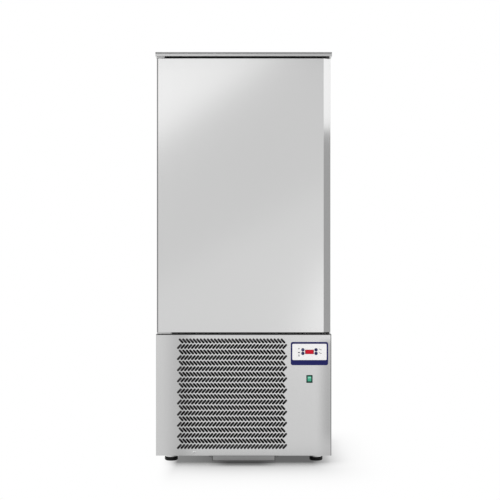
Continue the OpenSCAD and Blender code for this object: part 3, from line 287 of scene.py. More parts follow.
# %% [markdown]
# ## Lamps and cards
# Brushed steel shows what stands in front of it. The photograph's door is brightest in its
# upper left corner and again low on the right, with straight soft edges that run slantwise
# between: three softboxes, each turned on its corner. The slanted grip strip looks past the
# camera to the right, where a grey card darkens its lower part. A dim card above gives the
# worktop's upper edge its darker line. The cards are seen in reflections alone.

# %% Softboxes
LAMP_PLANE = -7400    # the lamps hang a metre behind the lens


def softbox(name, edge_from, edge_to, width, depth, level, plane=LAMP_PLANE):
    """A soft lamp whose one edge runs from one point to another, given as (x, z), with the lamp
    to the left of that line. It adds level to what mirrors it."""
    a, b = Vector(edge_from), Vector(edge_to)
    along = (b - a).normalized()
    middle = (a + b) / 2 + Vector((-along.y, along.x)) * depth / 2
    data = bpy.data.lights.new(name, "AREA")
    data.shape, data.size, data.size_y = "RECTANGLE", width * MM, depth * MM
    data.energy = level * 4 * width * depth * MM * MM
    lamp = bpy.data.objects.new(name, data)
    lamp.location = place(middle.x, plane, middle.y)
    lamp.rotation_euler = (math.pi / 2, -math.atan2(along.y, along.x), 0)
    scene.collection.objects.link(lamp)
    print(name, "adds", level, "with its middle at", [round(v) for v in middle])


softbox("softbox_upper_left", (-834, 2063), (227, 2824), 4200, 1700, 0.43)
softbox("softbox_low_wide", (743, 1576), (-815, 698), 4000, 2000, 0.09)
# this one hangs further back, because two lamps in one plane hide each other where they overlap
softbox("softbox_lower_right", (744, 698), (549, 211), 1100, 900, 0.3, LAMP_PLANE - 100)

# %% Cards that only reflections see
def card(name, level, corners):
    stage_sheet(name, corners, glow(name, level), only_mirrored=True)


def grip_card(name, level, low, high):
    """A card for the grip strip to mirror, between two heights."""
    (x0, y0), (x1, y1) = GRIP_CARD
    card(name, level, [(x0, y0, low), (x1, y1, low), (x1, y1, high), (x0, y0, high)])


GRIP_CARD = ((1500, -1400), (1900, -700))     # where its two upright edges stand, x and y
GRIP_SPLIT = 1640     # the grip strip mirrors a grey card up to here, and a bright one above
GRIP_TOP = 2130       # low enough not to be mirrored in the worktop
grip_card("card_grip_low", 0.57, 0, GRIP_SPLIT)
grip_card("card_grip_high", 1.5, GRIP_SPLIT, GRIP_TOP)
card("card_above", 0.37, level_corners(2500, -5200, -200, 2700))

# %% [markdown]
# ## Finishes
# A finish is a Principled shader whose even values stand on its own sockets, and whose
# colour, roughness and bump vary with patterns laid out in the object's own coordinates. An
# image could carry the same patterns, but noise has no seams and stays sharp from any distance.

# %% A finish being mixed
def shade(level, tint=(1, 1, 1)):
    return tuple(level * t for t in tint) + (1,)


def seen(r, g, b):
    """A colour as it is seen on a screen, from 0 to 255, as the shader needs it."""
    return tuple(c / 12.92 if c <= 0.04045 else ((c + 0.055) / 1.055) ** 2.4
                 for c in (r / 255, g / 255, b / 255)) + (1,)


def toned(colour, times, plus=0.0):
    """A lighter or darker tone of a colour."""
    return tuple(min(1, c * times + plus) for c in colour[:3]) + (1,)


class Finish(Bench):
    """One material on a Principled shader."""

    def __init__(self, name, rough=0.5, metal=0.0, **constants):
        self.material = blank(name)
        super().__init__(self.material.node_tree)
        self.shader = self.tree.nodes.new("ShaderNodeBsdfPrincipled")
        shown = self.tree.nodes.new("ShaderNodeOutputMaterial")
        self.tree.links.new(self.shader.outputs[0], shown.inputs[0])
        self.place = self.node("ShaderNodeTexCoord", out="Object")
        self.feed("Roughness", rough)
        self.feed("Metallic", metal)
        for socket, value in constants.items():
            self.feed(socket.replace("_", " "), value)

    def feed(self, socket, value):
        if isinstance(value, Wire):
            self.tree.links.new(value.socket, self.shader.inputs[socket])
        else:
            self.shader.inputs[socket].default_value = value

    def noise(self, scale, detail=2.0, rough=0.5):
        """Noise with its own scale along each axis, in features per metre."""
        scale = scale if isinstance(scale, (tuple, list)) else (scale,) * 3
        stretched = self.node("ShaderNodeVectorMath", {"operation": "MULTIPLY"}, [self.place, scale])
        return self.node("ShaderNodeTexNoise", inputs={
            "Vector": stretched, "Scale": 1.0, "Detail": detail, "Roughness": rough})

    def cells(self, scale, out="Distance"):
        return self.node("ShaderNodeTexVoronoi", {"feature": "F1"},
                         {"Vector": self.place, "Scale": scale}, out)

    def blend(self, factor, a, b):
        """Colour a where the factor is 0 and b where it is 1."""
        return self.node("ShaderNodeMix", {"data_type": "RGBA"}, {0: factor, 6: a, 7: b}, out=2)

    def coloured(self, factor, a, b):
        """The surface has colour a where the factor is 0 and b where it is 1."""
        self.feed("Base Color", self.blend(factor, a, b))

    def bump(self, height, depth, strength):
        """Raises the surface by up to depth, in metres."""
        self.feed("Normal", self.node("ShaderNodeBump", inputs={
            "Height": height, "Distance": depth, "Strength": strength}))


# %% [markdown]
# ## What the front panel's sheet went through, and the reflections painted on it
# The grille's slots are punched. A dark rim is painted round each slot, a painted reflection
# of the dark behind it, so each slot looks wider than its hole. The sheet is painted darker
# beside the grille and towards its right bend, a painted reflection of darker parts of the
# room, and along its top, where it is bent inwards under the door, it is painted as dark as
# the shade in the gap. They are worked out from the slots' own layout and the panel's box, as
# rules for the sheet's colour.

# %% Painted dark reflection round the slots' rims
SLOT_LONG, SLOT_WIDE, SLOT_LEAN = 25, 7, math.radians(47)
SLOT_STEP, ROW_STEP = 15.8, 25    # from slot to slot and from row to row
FIRST_SLOT = (105.7, 29)          # in from the sheet's left edge, and down from its top
SLOTS, ROWS = 30, 20
RIM = (1.1, 1.8)                  # dark up to the first distance from the slot, gone at the second
RIM_REFLECTION_TONE = 0.05                   # painted reflection of the dark behind the slots


def slot_rim_reflection(finish):
    """1 on the rims of the front panel's slots, where a dark reflection is painted, and 0 on its plain
    sheet.
    """
    sheet_low, sheet_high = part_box("front_panel")
    x, y, z = finish.axes(finish.place)
    sin, cos = math.sin(SLOT_LEAN), math.cos(SLOT_LEAN)
    # the row that a point lies in; the odd rows lean the other way and start half a step earlier
    down = (sheet_high[2] / MM - FIRST_SLOT[1]) - z / MM
    row = (down / ROW_STEP + 0.5).floor()
    odd = row - (row / 2).floor() * 2
    lean = 1 - odd * 2
    right = x / MM - (sheet_low[0] / MM + FIRST_SLOT[0]) - (1 - odd) * (SLOT_STEP / 2)
    up = row * ROW_STEP - down
    # its place across and along the nearest slot of that row
    across = lean * right * sin + up * cos
    number = (across / (SLOT_STEP * sin) + 0.5).floor()
    along = right * cos - lean * up * sin - lean * number * (SLOT_STEP * cos)
    across = across - number * (SLOT_STEP * sin)
    past = (abs(along) - (SLOT_LONG - SLOT_WIDE) / 2).at_least(0)
    away = (past ** 2 + across ** 2) ** 0.5
    # the pattern ends with the grille
    slot = lean * number
    in_row = (slot > -0.5) * (slot < odd + (SLOTS - 0.5))
    in_grille = in_row * (row > -0.5) * (row < ROWS - 0.5)
    return (1 - finish.ramp(away, SLOT_WIDE / 2 + RIM[0], SLOT_WIDE / 2 + RIM[1])) * in_grille


print("the grille has", ROWS, "rows of slots")

# %% Where the front panel is painted darker
REFLECTION_DARK_LEFT, REFLECTION_DARK_RIGHT = 0.2, 0.29           # how much darker the painted reflection makes the sheet there
LEFT_COMES, LEFT_GOES = (-0.39, -0.285), (-0.285, -0.2)    # over which x, in metres
RIGHT_COMES = (0.32, 0.385)
RIGHT_LOW, RIGHT_HIGH = (0.06, 0.16), (0.53, 0.57)         # over which z the right one comes and goes


def painted_panel_reflection(finish):
    """How much darker the sheet is painted beside the grille and towards its right bend: a
    painted reflection of darker parts of the room."""
    x, y, z = finish.axes(finish.place)
    left = finish.ramp(x, *LEFT_COMES) * (1 - finish.ramp(x, *LEFT_GOES))
    upright = (finish.ramp(z, *RIGHT_LOW) * 0.5 + 0.5) * (1 - finish.ramp(z, *RIGHT_HIGH))
    return left * REFLECTION_DARK_LEFT + finish.ramp(x, *RIGHT_COMES) * upright * REFLECTION_DARK_RIGHT


# the bows here are the painted darker reflections beside the grille and at the right bend
print("the bows are darker by", REFLECTION_DARK_LEFT, "and", REFLECTION_DARK_RIGHT)

# %% The bend along the front panel's top
# painted shade on the panel's top bend, inside the gap under the door
BEND_SHADE_TONE = 0.06
BEND_DOWN = (2.6, 1.6)            # over this distance below the top the tone comes, in mm


def top_bend(finish):
    """1 on the upper bend and return of the panel, painted dark as the shade of the gap below the door.
    """
    z = finish.axes(finish.place)[2]
    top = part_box("front_panel")[1][2]
    return finish.ramp(z, top - BEND_DOWN[0] * MM, top - BEND_DOWN[1] * MM)


print("tone of the top bend:", BEND_SHADE_TONE)

# %% [markdown]
# ## Brushed sheet steel
# Rolled and sanded sheet is the main finish. Noise that is stretched a hundredfold along the
# grain gives long fine scratches, and slow noise gives the faint clouds of real sheet. Along
# the panel's right edge and the door's left edge a dark line is painted: a painted reflection
# of the rounded folds there.

# %% Sheet steel, brushed along one axis
UNEVEN = 0.05                     # how far the sheet's tone goes up and down
SCRATCHES_LONG, SCRATCHES_FINE = 12.0, 1400.0   # how many there are in a metre, along and across
FOLD_REFLECTION_TONE = 0.24                  # painted darker reflection along a folded edge
FOLD_DEPTH = (-392, -384)         # over these y the painted line ends behind the front
PANEL_FOLD = (390.5, 392, 1)      # from which x to which x, and towards which side
DOOR_FOLD = (384.3, 385.2, -1)


def brushed(name, grain, tone=0.58, rough=0.2, fold=None, pierced=False):
    """fold gives a dark line painted along one edge, a painted reflection of its rounded fold;
    pierced is for the front panel, with its painted reflections: beside the grille, at its top
    bend and on the rims of its slots."""
    finish = Finish(name, metal=1.0)
    stretch = [SCRATCHES_LONG if axis == grain else SCRATCHES_FINE for axis in "XYZ"]
    scratches = finish.noise(stretch, detail=3, rough=0.6)
    clouds = finish.noise(1.8, detail=1)
    mix = scratches * 0.6 + clouds * 0.4
    colour = finish.blend(mix, shade(tone * (1 - UNEVEN)), shade(tone * (1 + UNEVEN)))
    # a dark line painted along the folded edge: painted reflection
    if fold:
        x, y, z = finish.axes(finish.place)
        at_front = 1 - finish.ramp(y, FOLD_DEPTH[0] * MM, FOLD_DEPTH[1] * MM)
        at_edge = finish.ramp(x * fold[2], fold[0] * MM, fold[1] * MM)
        colour = finish.blend(at_edge * at_front, colour, shade(FOLD_REFLECTION_TONE))
    # painted reflection and shade on the front panel: beside the grille, on the slots' rims and at the
    # top bend
    if pierced:
        colour = finish.blend(painted_panel_reflection(finish), colour, shade(0))
        colour = finish.blend(slot_rim_reflection(finish), colour, shade(RIM_REFLECTION_TONE))
        colour = finish.blend(top_bend(finish), colour, shade(BEND_SHADE_TONE))
    finish.feed("Base Color", colour)
    finish.feed("Roughness", scratches * 0.08 + (rough - 0.04))
    finish.bump(scratches, 0.00002, 0.5)
    return finish.material


door_steel = brushed("steel_door", "Z", rough=0.13, fold=DOOR_FOLD)
panel_steel = brushed("steel_panel", "Z", rough=0.2, fold=PANEL_FOLD)
pierced_steel = brushed("steel_pierced", "Z", rough=0.2, fold=PANEL_FOLD, pierced=True)
wide_steel = brushed("steel_brushed_across", "X", tone=0.57, rough=0.24)
deep_steel = brushed("steel_brushed_deep", "Y", tone=0.55, rough=0.3)
liner_steel = brushed("steel_liner_satin", "Z", tone=0.6, rough=0.32)
rack_steel = brushed("steel_rack_polished", "Y", tone=0.62, rough=0.18)
print("steels:", [m.name for m in bpy.data.materials if m.name.startswith("steel")])

# %% [markdown]
# ## Zinc-coated sheet
# The base pan, the front rail and the box's underside are hot-dipped. The zinc sets in flat
# crystals, each of which throws the light back a little differently. A cell pattern gives each
# crystal its own grey and its own roughness, which simple noise can't.

# %% Zinc-coated sheet with its frost flowers
def galvanised(name, tone=0.5, rough=0.38):
    finish = Finish(name, metal=1.0)
    flowers = finish.cells(70.0, out="Color")
    level = finish.axes(flowers)[0]
    grain = finish.noise(420.0, detail=3)
    mix = level * 0.7 + grain * 0.3
    finish.coloured(mix, shade(tone * 0.82, (0.97, 0.99, 1.0)), shade(tone * 1.15, (0.98, 1.0, 1.0)))
    finish.feed("Roughness", level * 0.16 + rough)
    finish.bump(grain, 0.00003, 0.4)
    return finish.material


zinc = galvanised("zinc_spangled")
dull_zinc = galvanised("zinc_dull", tone=0.24, rough=0.5)
print("zinc:", zinc.name, dull_zinc.name)

# %% [markdown]
# ## The drip tray's sheet
# The drip tray is a folded sheet, pale and a little stained. Its front is edged by dark lines
# of painted shade, where its corners and its lower edge are folded. They are kept to the front
# face, so that the inside has none.

# %% Stained sheet for the drip tray
TRAY_CORNER = (0.137, 0.1405)     # from the middle, over which the painted shade at the folded corners comes
TRAY_EDGE = (0.0115, 0.0135)      # over which heights the painted shade at the lower edge fades
TRAY_FACE = (-0.394, -0.392)      # over these y the lines end behind the front
tray_steel = Finish("tray_steel", rough=0.5, metal=1.0)
x, y, z = tray_steel.axes(tray_steel.place)
# painted shade along the tray front's folded corners and lower edge
fold_shade = tray_steel.ramp(abs(x), *TRAY_CORNER) + (1 - tray_steel.ramp(z, *TRAY_EDGE))
fold_shade = fold_shade.at_most(1) * (1 - tray_steel.ramp(y, *TRAY_FACE))
stains = tray_steel.noise(60.0, detail=3)
tray_steel.coloured(fold_shade, tray_steel.blend(stains, shade(0.34), shade(0.4)), shade(0.12))
print("tray sheet:", tray_steel.material.name)

# %% [markdown]
# ## Drawn, painted and moulded surfaces
# Pipes and fins are drawn or rolled and get stained. Enamel has a fine orange peel and catches
# dust. Moulded plastic takes the eroded texture of its mould. Three functions, each with its
# own scale of bump, cover every pipe, motor, gland and key.

# %% Pipe metal, enamel and plastic
def drawn_metal(name, colour, rough, scale=(300.0, 300.0, 300.0), uneven=0.2, metal=1.0):
    """Bare pipe or fin metal, a little dull and stained."""
    finish = Finish(name, metal=metal)
    stains = finish.noise(14.0, detail=4, rough=0.6)
    grain = finish.noise(scale, detail=2)
    finish.coloured(finish.ramp(stains, 0.35, 0.7), colour, toned(colour, 1 - uneven))
    finish.feed("Roughness", stains * 0.25 + (rough - 0.1))
    finish.bump(grain, 0.00004, 0.5)
    return finish.material


def painted(name, colour, rough):
    """Enamel or powder coat with a fine orange-peel surface."""
    finish = Finish(name)
    peel = finish.noise(520.0, detail=1)
    dust = finish.noise(30.0, detail=4)
    finish.coloured(finish.ramp(dust, 0.45, 0.85), colour, toned(colour, 1.25, 0.01))
    finish.feed("Roughness", dust * 0.2 + (rough - 0.1))
    finish.bump(peel, 0.00006, 0.6)
    return finish.material


def moulded(name, colour, rough=0.45, stipple=0.00005, **constants):
    """Injection-moulded plastic: an eroded texture and slight flow marks."""
    finish = Finish(name, **constants)
    erosion = finish.noise(1500.0, detail=2)
    flow = finish.noise(25.0, detail=2)
    finish.coloured(flow, colour, toned(colour, 1.12, 0.004))
    finish.feed("Roughness", erosion * 0.14 + (rough - 0.07))
    finish.bump(erosion, stipple, 0.5)
    return finish.material


aluminium = drawn_metal("aluminium_rolled", (0.62, 0.63, 0.65, 1), 0.36, (40.0, 700.0, 700.0), 0.12)
copper = drawn_metal("copper_drawn", (0.62, 0.29, 0.17, 1), 0.3, uneven=0.35)
black_fins = drawn_metal("fin_black_coat", (0.03, 0.03, 0.033, 1), 0.5, (40.0, 700.0, 700.0), 0.3,
                         metal=0.0)
black_plastic = moulded("plastic_black", seen(38, 38, 40), 0.5)
black_cap = moulded("plastic_cap_matt", seen(20, 20, 22), 0.7, Specular_IOR_Level=0.2)
grey_plastic = moulded("plastic_grey", seen(122, 124, 127), 0.5)
white_plastic = moulded("plastic_white_slip", seen(225, 225, 220), 0.4)
motor_paint = painted("motor_enamel", seen(52, 53, 56), 0.42)
compressor_paint = painted("compressor_enamel", seen(24, 24, 26), 0.28)
frame_paint = painted("frame_black_coat", seen(15, 15, 16), 0.7)
box_paint = painted("box_powder_coat", seen(190, 192, 190), 0.45)
rubber = moulded("rubber_black", seen(20, 20, 21), 0.62, 0.00008, Specular_IOR_Level=0.3)
# grey for the strip in the upper gap: painted shade
gap_shade_grey = moulded("rubber_grey_strip", seen(92, 92, 94), 0.6, 0.00006, Specular_IOR_Level=0.3)
gasket_rubber = moulded("gasket_soft_grey", seen(92, 94, 97), 0.6, 0.00004)
print("materials by now, with the frame's own:", len(bpy.data.materials))

# %% [markdown]
# ## Hidden and special finishes
# The insulation is blown polyurethane: pale, dull and full of small closed cells. The
# worktop's core is a board of pressed chips. The circuit board carries tracks under green
# lacquer. None of them show in the front view, but the parts are opened, turned and taken
# apart, so each has its own surface.

# %% Foam, board, lacquered tracks and filter mat
def cellular(name, colour, scale, depth):
    finish = Finish(name, rough=0.9)
    pores = finish.cells(scale)
    clouds = finish.noise(9.0, detail=3)
    finish.coloured(finish.ramp(pores, 0.1, 0.7) * 0.6 + clouds * 0.4, toned(colour, 0.72), colour)
    finish.bump(pores, depth, 0.8)
    return finish.material


foam = cellular("foam_blown", seen(226, 206, 150), 420.0, 0.0006)
chips = Finish("board_pressed_chips", rough=0.8)
flakes = chips.axes(chips.cells(160.0, out="Color"))
chips.coloured(flakes[0], seen(176, 136, 84), seen(216, 182, 128))
chips.bump(flakes[1], 0.0003, 0.6)

board = Finish("circuit_board", rough=0.35)
grid = board.node("ShaderNodeTexBrick", {"offset": 0.5}, {
    "Vector": board.place, "Color1": (1, 1, 1, 1), "Color2": (0, 0, 0, 1), "Mortar": (0.5, 0.5, 0.5, 1),
    "Scale": 120.0, "Mortar Size": 0.06})
board.coloured(grid, seen(14, 84, 50), seen(30, 120, 72))

mat = Finish("filter_mat_dark", rough=0.95, Specular_IOR_Level=0.05)
fibres = mat.noise((900.0, 300.0, 900.0), detail=4, rough=0.8)
mat.coloured(mat.ramp(fibres, 0.35, 0.7), shade(0.003), shade(0.012))
mat.bump(fibres, 0.0008, 0.8)
print("materials by now, with the frame's own:", len(bpy.data.materials))

# %% [markdown]
# ## The control panel's colours
# The panel is a plastic bezel printed navy, with a white field. The red display window is
# darker towards its rim, where its lamp doesn't reach, and the four round keys are navy. The
# mains switch is a green rocker in a dark green rim, with a painted highlight where it bends
# and painted shade on its flanks and lower end.

# %% Printed and lit plastics
PRINT = {"Specular_IOR_Level": 0.15}      # screen print is matt, so it keeps its depth of colour
navy_print = moulded("bezel_navy", seen(24, 28, 92), 0.5, 0.00002, **PRINT)
white_print = moulded("face_white", shade(0.98), 0.42, 0.00002)
key_navy = moulded("key_navy", seen(24, 24, 78), 0.45, 0.00002, **PRINT)
rim_green = moulded("rim_dark_green", seen(2, 52, 43), 0.45, 0.00003, **PRINT)
mark_pale = moulded("mark_pale_blue", seen(176, 178, 214), 0.5, 0.00001, **PRINT)
mark_blue = moulded("mark_blue_grey", seen(96, 98, 146), 0.5, 0.00001, **PRINT)
mark_grey = moulded("mark_grey", seen(138, 140, 144), 0.5, 0.00001, **PRINT)
mark_dark = moulded("mark_dark", seen(36, 36, 52), 0.5, 0.00001, **PRINT)
mark_warm = moulded("mark_warm_grey", seen(112, 108, 98), 0.5, 0.00001, **PRINT)

DISPLAY = (0.296, 0.5)            # middle of the display window, x and z in metres
FADE_ASIDE, FADE_UP = (0.013, 0.02), (0.006, 0.01)         # from the middle
lens_red = Finish("display_red", rough=0.2, **PRINT)
x, y, z = lens_red.axes(lens_red.place)
rim = lens_red.ramp(abs(x - DISPLAY[0]), *FADE_ASIDE) + lens_red.ramp(abs(z - DISPLAY[1]), *FADE_UP)
rim = rim.at_most(1)
glass = lens_red.noise(260.0, detail=1)
lens_red.coloured(rim * 0.8 + glass * 0.2, seen(212, 12, 40), seen(132, 2, 28))
lens_red.feed("Emission Color", lens_red.blend(rim, seen(90, 0, 14), seen(0, 0, 0)))
lens_red.feed("Emission Strength", 0.3)

ROCKER_X = 0.296                  # middle of the rocker
HIGHLIGHT_COMES, HIGHLIGHT_GOES = (0.38, 0.3815), (0.3852, 0.387)    # heights of its painted highlight
FLANK, LOWER_END = (0.0068, 0.0088), (0.3675, 0.371)       # where the painted shade on its flanks and lower end comes
rocker_green = Finish("rocker_green", rough=0.25)
x, y, z = rocker_green.axes(rocker_green.place)
# painted highlight in a band where the rocker bends, and painted shade on its flanks and lower end
rocker_highlight = rocker_green.ramp(z, *HIGHLIGHT_COMES) * (1 - rocker_green.ramp(z, *HIGHLIGHT_GOES))
rocker_shade = rocker_green.ramp(abs(x - ROCKER_X), *FLANK) + (1 - rocker_green.ramp(z, *LOWER_END))
rocker_shade = rocker_shade.at_most(1)
body = rocker_green.blend(rocker_highlight, seen(52, 182, 142), seen(158, 236, 210))
flow = rocker_green.noise(400.0, detail=1)
rocker_green.coloured(rocker_shade * 0.8 + flow * 0.1, body, seen(10, 96, 76))
rocker_green.bump(flow, 0.00003, 0.4)
print("materials by now, with the frame's own:", len(bpy.data.materials))

# %% [markdown]
# ## Dressing the CAD nodes
# Most nodes keep their own exact mesh and only get a finish. The grain follows how each
# sheet was cut: upright on door, panel and sides, across on worktop and rails.

# %% Finishes for the nodes that keep their mesh
DRESS = {
    door_steel: "door_skin door_grip",
    panel_steel: "outer_casing door_frame",
    pierced_steel: "front_panel",
    wide_steel: "worktop door_liner rear_grille",
    deep_steel: "hinge_brackets hinge_pins",
    liner_steel: "inner_liner liner_coves fan_panel",
    rack_steel: "rack_left rack_right",
    zinc: "box_underside front_rail foot_sleeves",
    dull_zinc: "base_pan",
    tray_steel.material: "drip_tray",
    frame_paint: "filter_frame",
    aluminium: "evaporator_coil",
    black_fins: "condenser_coil",
    copper: "refrigerant_pipes",
    black_plastic: "cable_glands control_housing switch_body condenser_shroud",
    grey_plastic: "drain_pipe",
    black_cap: "door_caps",
    white_plastic: "hinge_bushes",
    motor_paint: "fan_motors condenser_motor",
    compressor_paint: "compressor",
    box_paint: "electrical_box",
    foam: "cabinet_insulation door_foam",
    chips.material: "worktop_core",
    board.material: "control_board",
    mat.material: "air_filter",
    navy_print: "control_bezel",
    white_print: "control_face",
    lens_red.material: "display_window",
    key_navy: "key_upper_left key_lower_left key_upper_right key_lower_right",
    rim_green: "switch_rim",
    rocker_green.material: "switch_rocker",
    rubber: "foot_front_left foot_front_right foot_rear_left foot_rear_right door_gasket",
}
for finish, names in DRESS.items():
    for name in names.split():
        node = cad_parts[name]
        for slot in node.material_slots:
            slot.material = finish
bare = set(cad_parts) - {n for names in DRESS.values() for n in names.split()}
print("nodes without a finish here:", sorted(bare))

# %% [markdown]
# ## Shaping pieces by hand
# Some nodes are plain stand-ins for collisions: a foot, a screw, a fan blade. They are
# shaped again here. One class holds raw material as a bmesh, in millimetres, and turns,
# sweeps or lofts it. The finished mesh is scaled to metres once, so every object stays at
# the origin with its place in its mesh.

# %% Raw material that becomes one piece
class Stock:
    """A mesh being shaped in millimetres, with one or more finishes."""

    def __init__(self, *finishes):
        self.mesh = bmesh.new()
        self.finishes = finishes

    def skin(self, rings, closed_path=False, ends=False, finish=0):
        """Joins rows of points into a skin; a row of one point closes a pole."""
        rows = [[self.mesh.verts.new(p) for p in ring] for ring in rings]
        pairs = list(zip(rows, rows[1:])) + ([(rows[-1], rows[0])] if closed_path else [])
        for a, b in pairs:
            n = max(len(a), len(b))
            for i in range(n):
                j = (i + 1) % n
                corners = [a[i % len(a)], a[j % len(a)], b[j % len(b)], b[i % len(b)]]
                self.mesh.faces.new(dict.fromkeys(corners)).material_index = finish
        if ends:
            for row in (rows[0], rows[-1]):
                self.mesh.faces.new(row).material_index = finish

    def turned(self, profile, centre, axis="Z", steps=48, finish=0):
        """Lathe work: (radius, height) points turned round an axis through centre."""
        rings = []
        for radius, height in profile:
            count = steps if radius > 0 else 1
            rings.append([on_axis(axis, radius, 2 * math.pi * i / steps, height, centre)
                          for i in range(count)])
        self.skin(rings, finish=finish)

    def block(self, low, high, bevel=0.0):
        """A block between two corners, with its edges rounded."""
        made = bmesh.ops.create_cube(self.mesh, size=1)["verts"]
        low, high = Vector(low), Vector(high)
        bmesh.ops.scale(self.mesh, vec=high - low, verts=made)
        bmesh.ops.translate(self.mesh, vec=(low + high) / 2, verts=made)
        if bevel:
            edges = {e for v in made for e in v.link_edges}
            bmesh.ops.bevel(self.mesh, geom=list(edges), offset=bevel, segments=2,
                            profile=0.5, affect="EDGES", clamp_overlap=True)

    def tube(self, path, radius, sides=10):
        """A round bar along a path of points."""
        path = [Vector(p) for p in path]
        across = None
        rings = []
        for i, point in enumerate(path):
            along = (path[min(i + 1, len(path) - 1)] - path[max(i - 1, 0)]).normalized()
            if across is None:
                across = along.orthogonal().normalized()
            across = (across - along * across.dot(along)).normalized()
            up = along.cross(across)
            rings.append([point + (across * math.cos(a) + up * math.sin(a)) * radius
                          for a in (2 * math.pi * k / sides for k in range(sides))])
        self.skin(rings, ends=True)

    def as_mesh(self, name):
        """Ends the work: a mesh in metres, with its faces turned outwards."""
        bmesh.ops.recalc_face_normals(self.mesh, faces=self.mesh.faces)
        self.mesh.transform(Matrix.Scale(MM, 4))
        mesh = bpy.data.meshes.new(name)
        self.mesh.to_mesh(mesh)
        self.mesh.free()
        for finish in self.finishes:
            mesh.materials.append(finish)
        return mesh

    def piece(self, name, body, slot, *replaced, sharp=35):
        """The finished mesh as one object at the origin that rides on its body."""
        settle(name, self.as_mesh(name), body, slot, *replaced, sharp=sharp)


def on_axis(axis, radius, angle, height, centre):
    """A point at an angle and height round an axis through centre."""
    a, b = radius * math.cos(angle), radius * math.sin(angle)
    offset = {"X": (height, a, b), "Y": (a, height, b), "Z": (a, b, height)}[axis]
    return Vector(centre) + Vector(offset)


def settle(name, mesh, body, slot, *replaced, sharp=35):
    """Puts a finished mesh into the scene and onto its body."""
    mesh.polygons.foreach_set("use_smooth", [True] * len(mesh.polygons))
    mesh.set_sharp_from_angle(angle=math.radians(sharp))
    made = bpy.data.objects.new(name, mesh)
    scene.collection.objects.link(made)
    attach(made, body)
    if replaced:
        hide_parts(*replaced)
    mesh.calc_loop_triangles()
    print(f"{name}: {len(mesh.loop_triangles)} triangles on {body}")


# %% [markdown]
# ## The feet
# The photograph shows black rubber feet with a rounded lower edge, and the light edge of a
# steel collar in front of a thick stem. A lathe makes them as the real ones are made: pad,
# collar and stem are profiles turned round one upright axis. The stem's thread is a row of
# ridges, fine enough at this size to stand for the helix.

# %% Turn the four feet
FOOT_X, FOOT_FRONT_Y, FOOT_REAR_Y = 330, -308, 310
steel_turned = brushed("steel_turned", "Z", tone=0.6, rough=0.22)
for name, x, y in [("front_left", -FOOT_X, FOOT_FRONT_Y), ("front_right", FOOT_X, FOOT_FRONT_Y),
                   ("rear_left", -FOOT_X, FOOT_REAR_Y), ("rear_right", FOOT_X, FOOT_REAR_Y)]:
    foot = Stock(rubber, steel_turned)
    edge = [(22 + 8 * math.sin(a), 8 - 8 * math.cos(a)) for a in (math.pi / 2 * i / 6 for i in range(7))]
    grip = [(30, 10), (29.3, 10.6), (29.3, 12), (30, 12.6), (30, 15.4), (28.8, 17)]
    foot.turned([(0, 0.6), (18, 0.6), (20, 0)] + edge + grip + [(20, 17), (0, 17)], (x, y, 0), finish=0)
    collar = [(0, 16.9), (24.3, 16.9), (25, 17.6), (25, 32), (24.3, 32.7), (0, 32.7)]
    foot.turned(collar, (x, y, 0), finish=1)
    ridges = []
    for i in range(19):
        z = 33 + i * 2
        ridges += [(7.2, z), (8, z + 1)]
    foot.turned([(0, 32.6)] + ridges + [(7, 71), (0, 71)], (x, y, 0), steps=32, finish=1)
    foot.piece("levelling_foot_" + name, "foot_" + name, "foot_" + name, "foot_" + name, sharp=40)

# %% [markdown]
# ## The panel's screw
# One pan-head screw holds the front panel to the base. Its domed head has a cross recess,
# pressed in while the metal was cold. The dome is turned, and the recess is two crossed flat
# blocks in a grey that stands for the hollow's shade: painted shade.

# %% Turn a pan-head screw
def pan_head(head, recess, centre, radius, height, steps=24):
    """A domed head that looks towards -Y, and a grey cross in it for the recess: painted shade."""
    dome = [(radius, 0), (radius, -height * 0.35)]
    dome += [(radius * math.cos(a), -height * (0.35 + 0.65 * math.sin(a)))
             for a in (math.radians(d) for d in (25, 45, 62))]
    head.turned([(0, 0.2)] + dome + [(radius * 0.3, -height * 0.99), (0, -height)], centre, "Y", steps)
    wide, long = radius * 0.1, radius * 0.42
    x, y, z = centre
    for along, across in ((long, wide), (wide, long)):
        recess.block((x - along, y - height * 1.01, z - across),
                     (x + along, y - height * 0.8, z + across))


SCREW_AT = (-223, FRONT, 49)
# the recess is grey: painted shade in the hollow of the cross
recess_shade_grey = moulded("recess_grey", seen(96, 97, 100), 0.6)
steel_bright = brushed("steel_screw_bright", "X", tone=0.85, rough=0.35)
screw, recess_shade = Stock(steel_bright), Stock(recess_shade_grey)
pan_head(screw, recess_shade, SCREW_AT, radius=6, height=2.35)
screw.turned([(0, 0), (2.5, 0), (2.5, 8.6), (1.5, 9.6), (0, 9.6)], SCREW_AT, "Y", 20)
screw.piece("panel_screw_head", "cabinet", "panel_screw", "panel_screw")
recess_shade.piece("panel_screw_recess", "cabinet", "panel_screw")

# %% [markdown]
# ## The door's gasket
# A magnetic gasket is an extruded strip, welded at its corners: a foot that presses into
# the door, a bellows that gives, and a flat band with the magnet that meets the frame. The
# section is drawn once and follows a rectangle with round corners, so that it is one skin.

# %% Sweep the gasket round the door
def round_rectangle(half_w, half_h, radius, steps=6):
    """Points round a rectangle with round corners, the same number for any size."""
    points = []
    for quarter, (sx, sz) in enumerate([(1, 1), (-1, 1), (-1, -1), (1, -1)]):
        for i in range(steps + 1):
            a = math.pi / 2 * (quarter + i / steps)
            points.append((sx * (half_w - radius) + radius * math.cos(a),
                           sz * (half_h - radius) + radius * math.sin(a)))
    return points


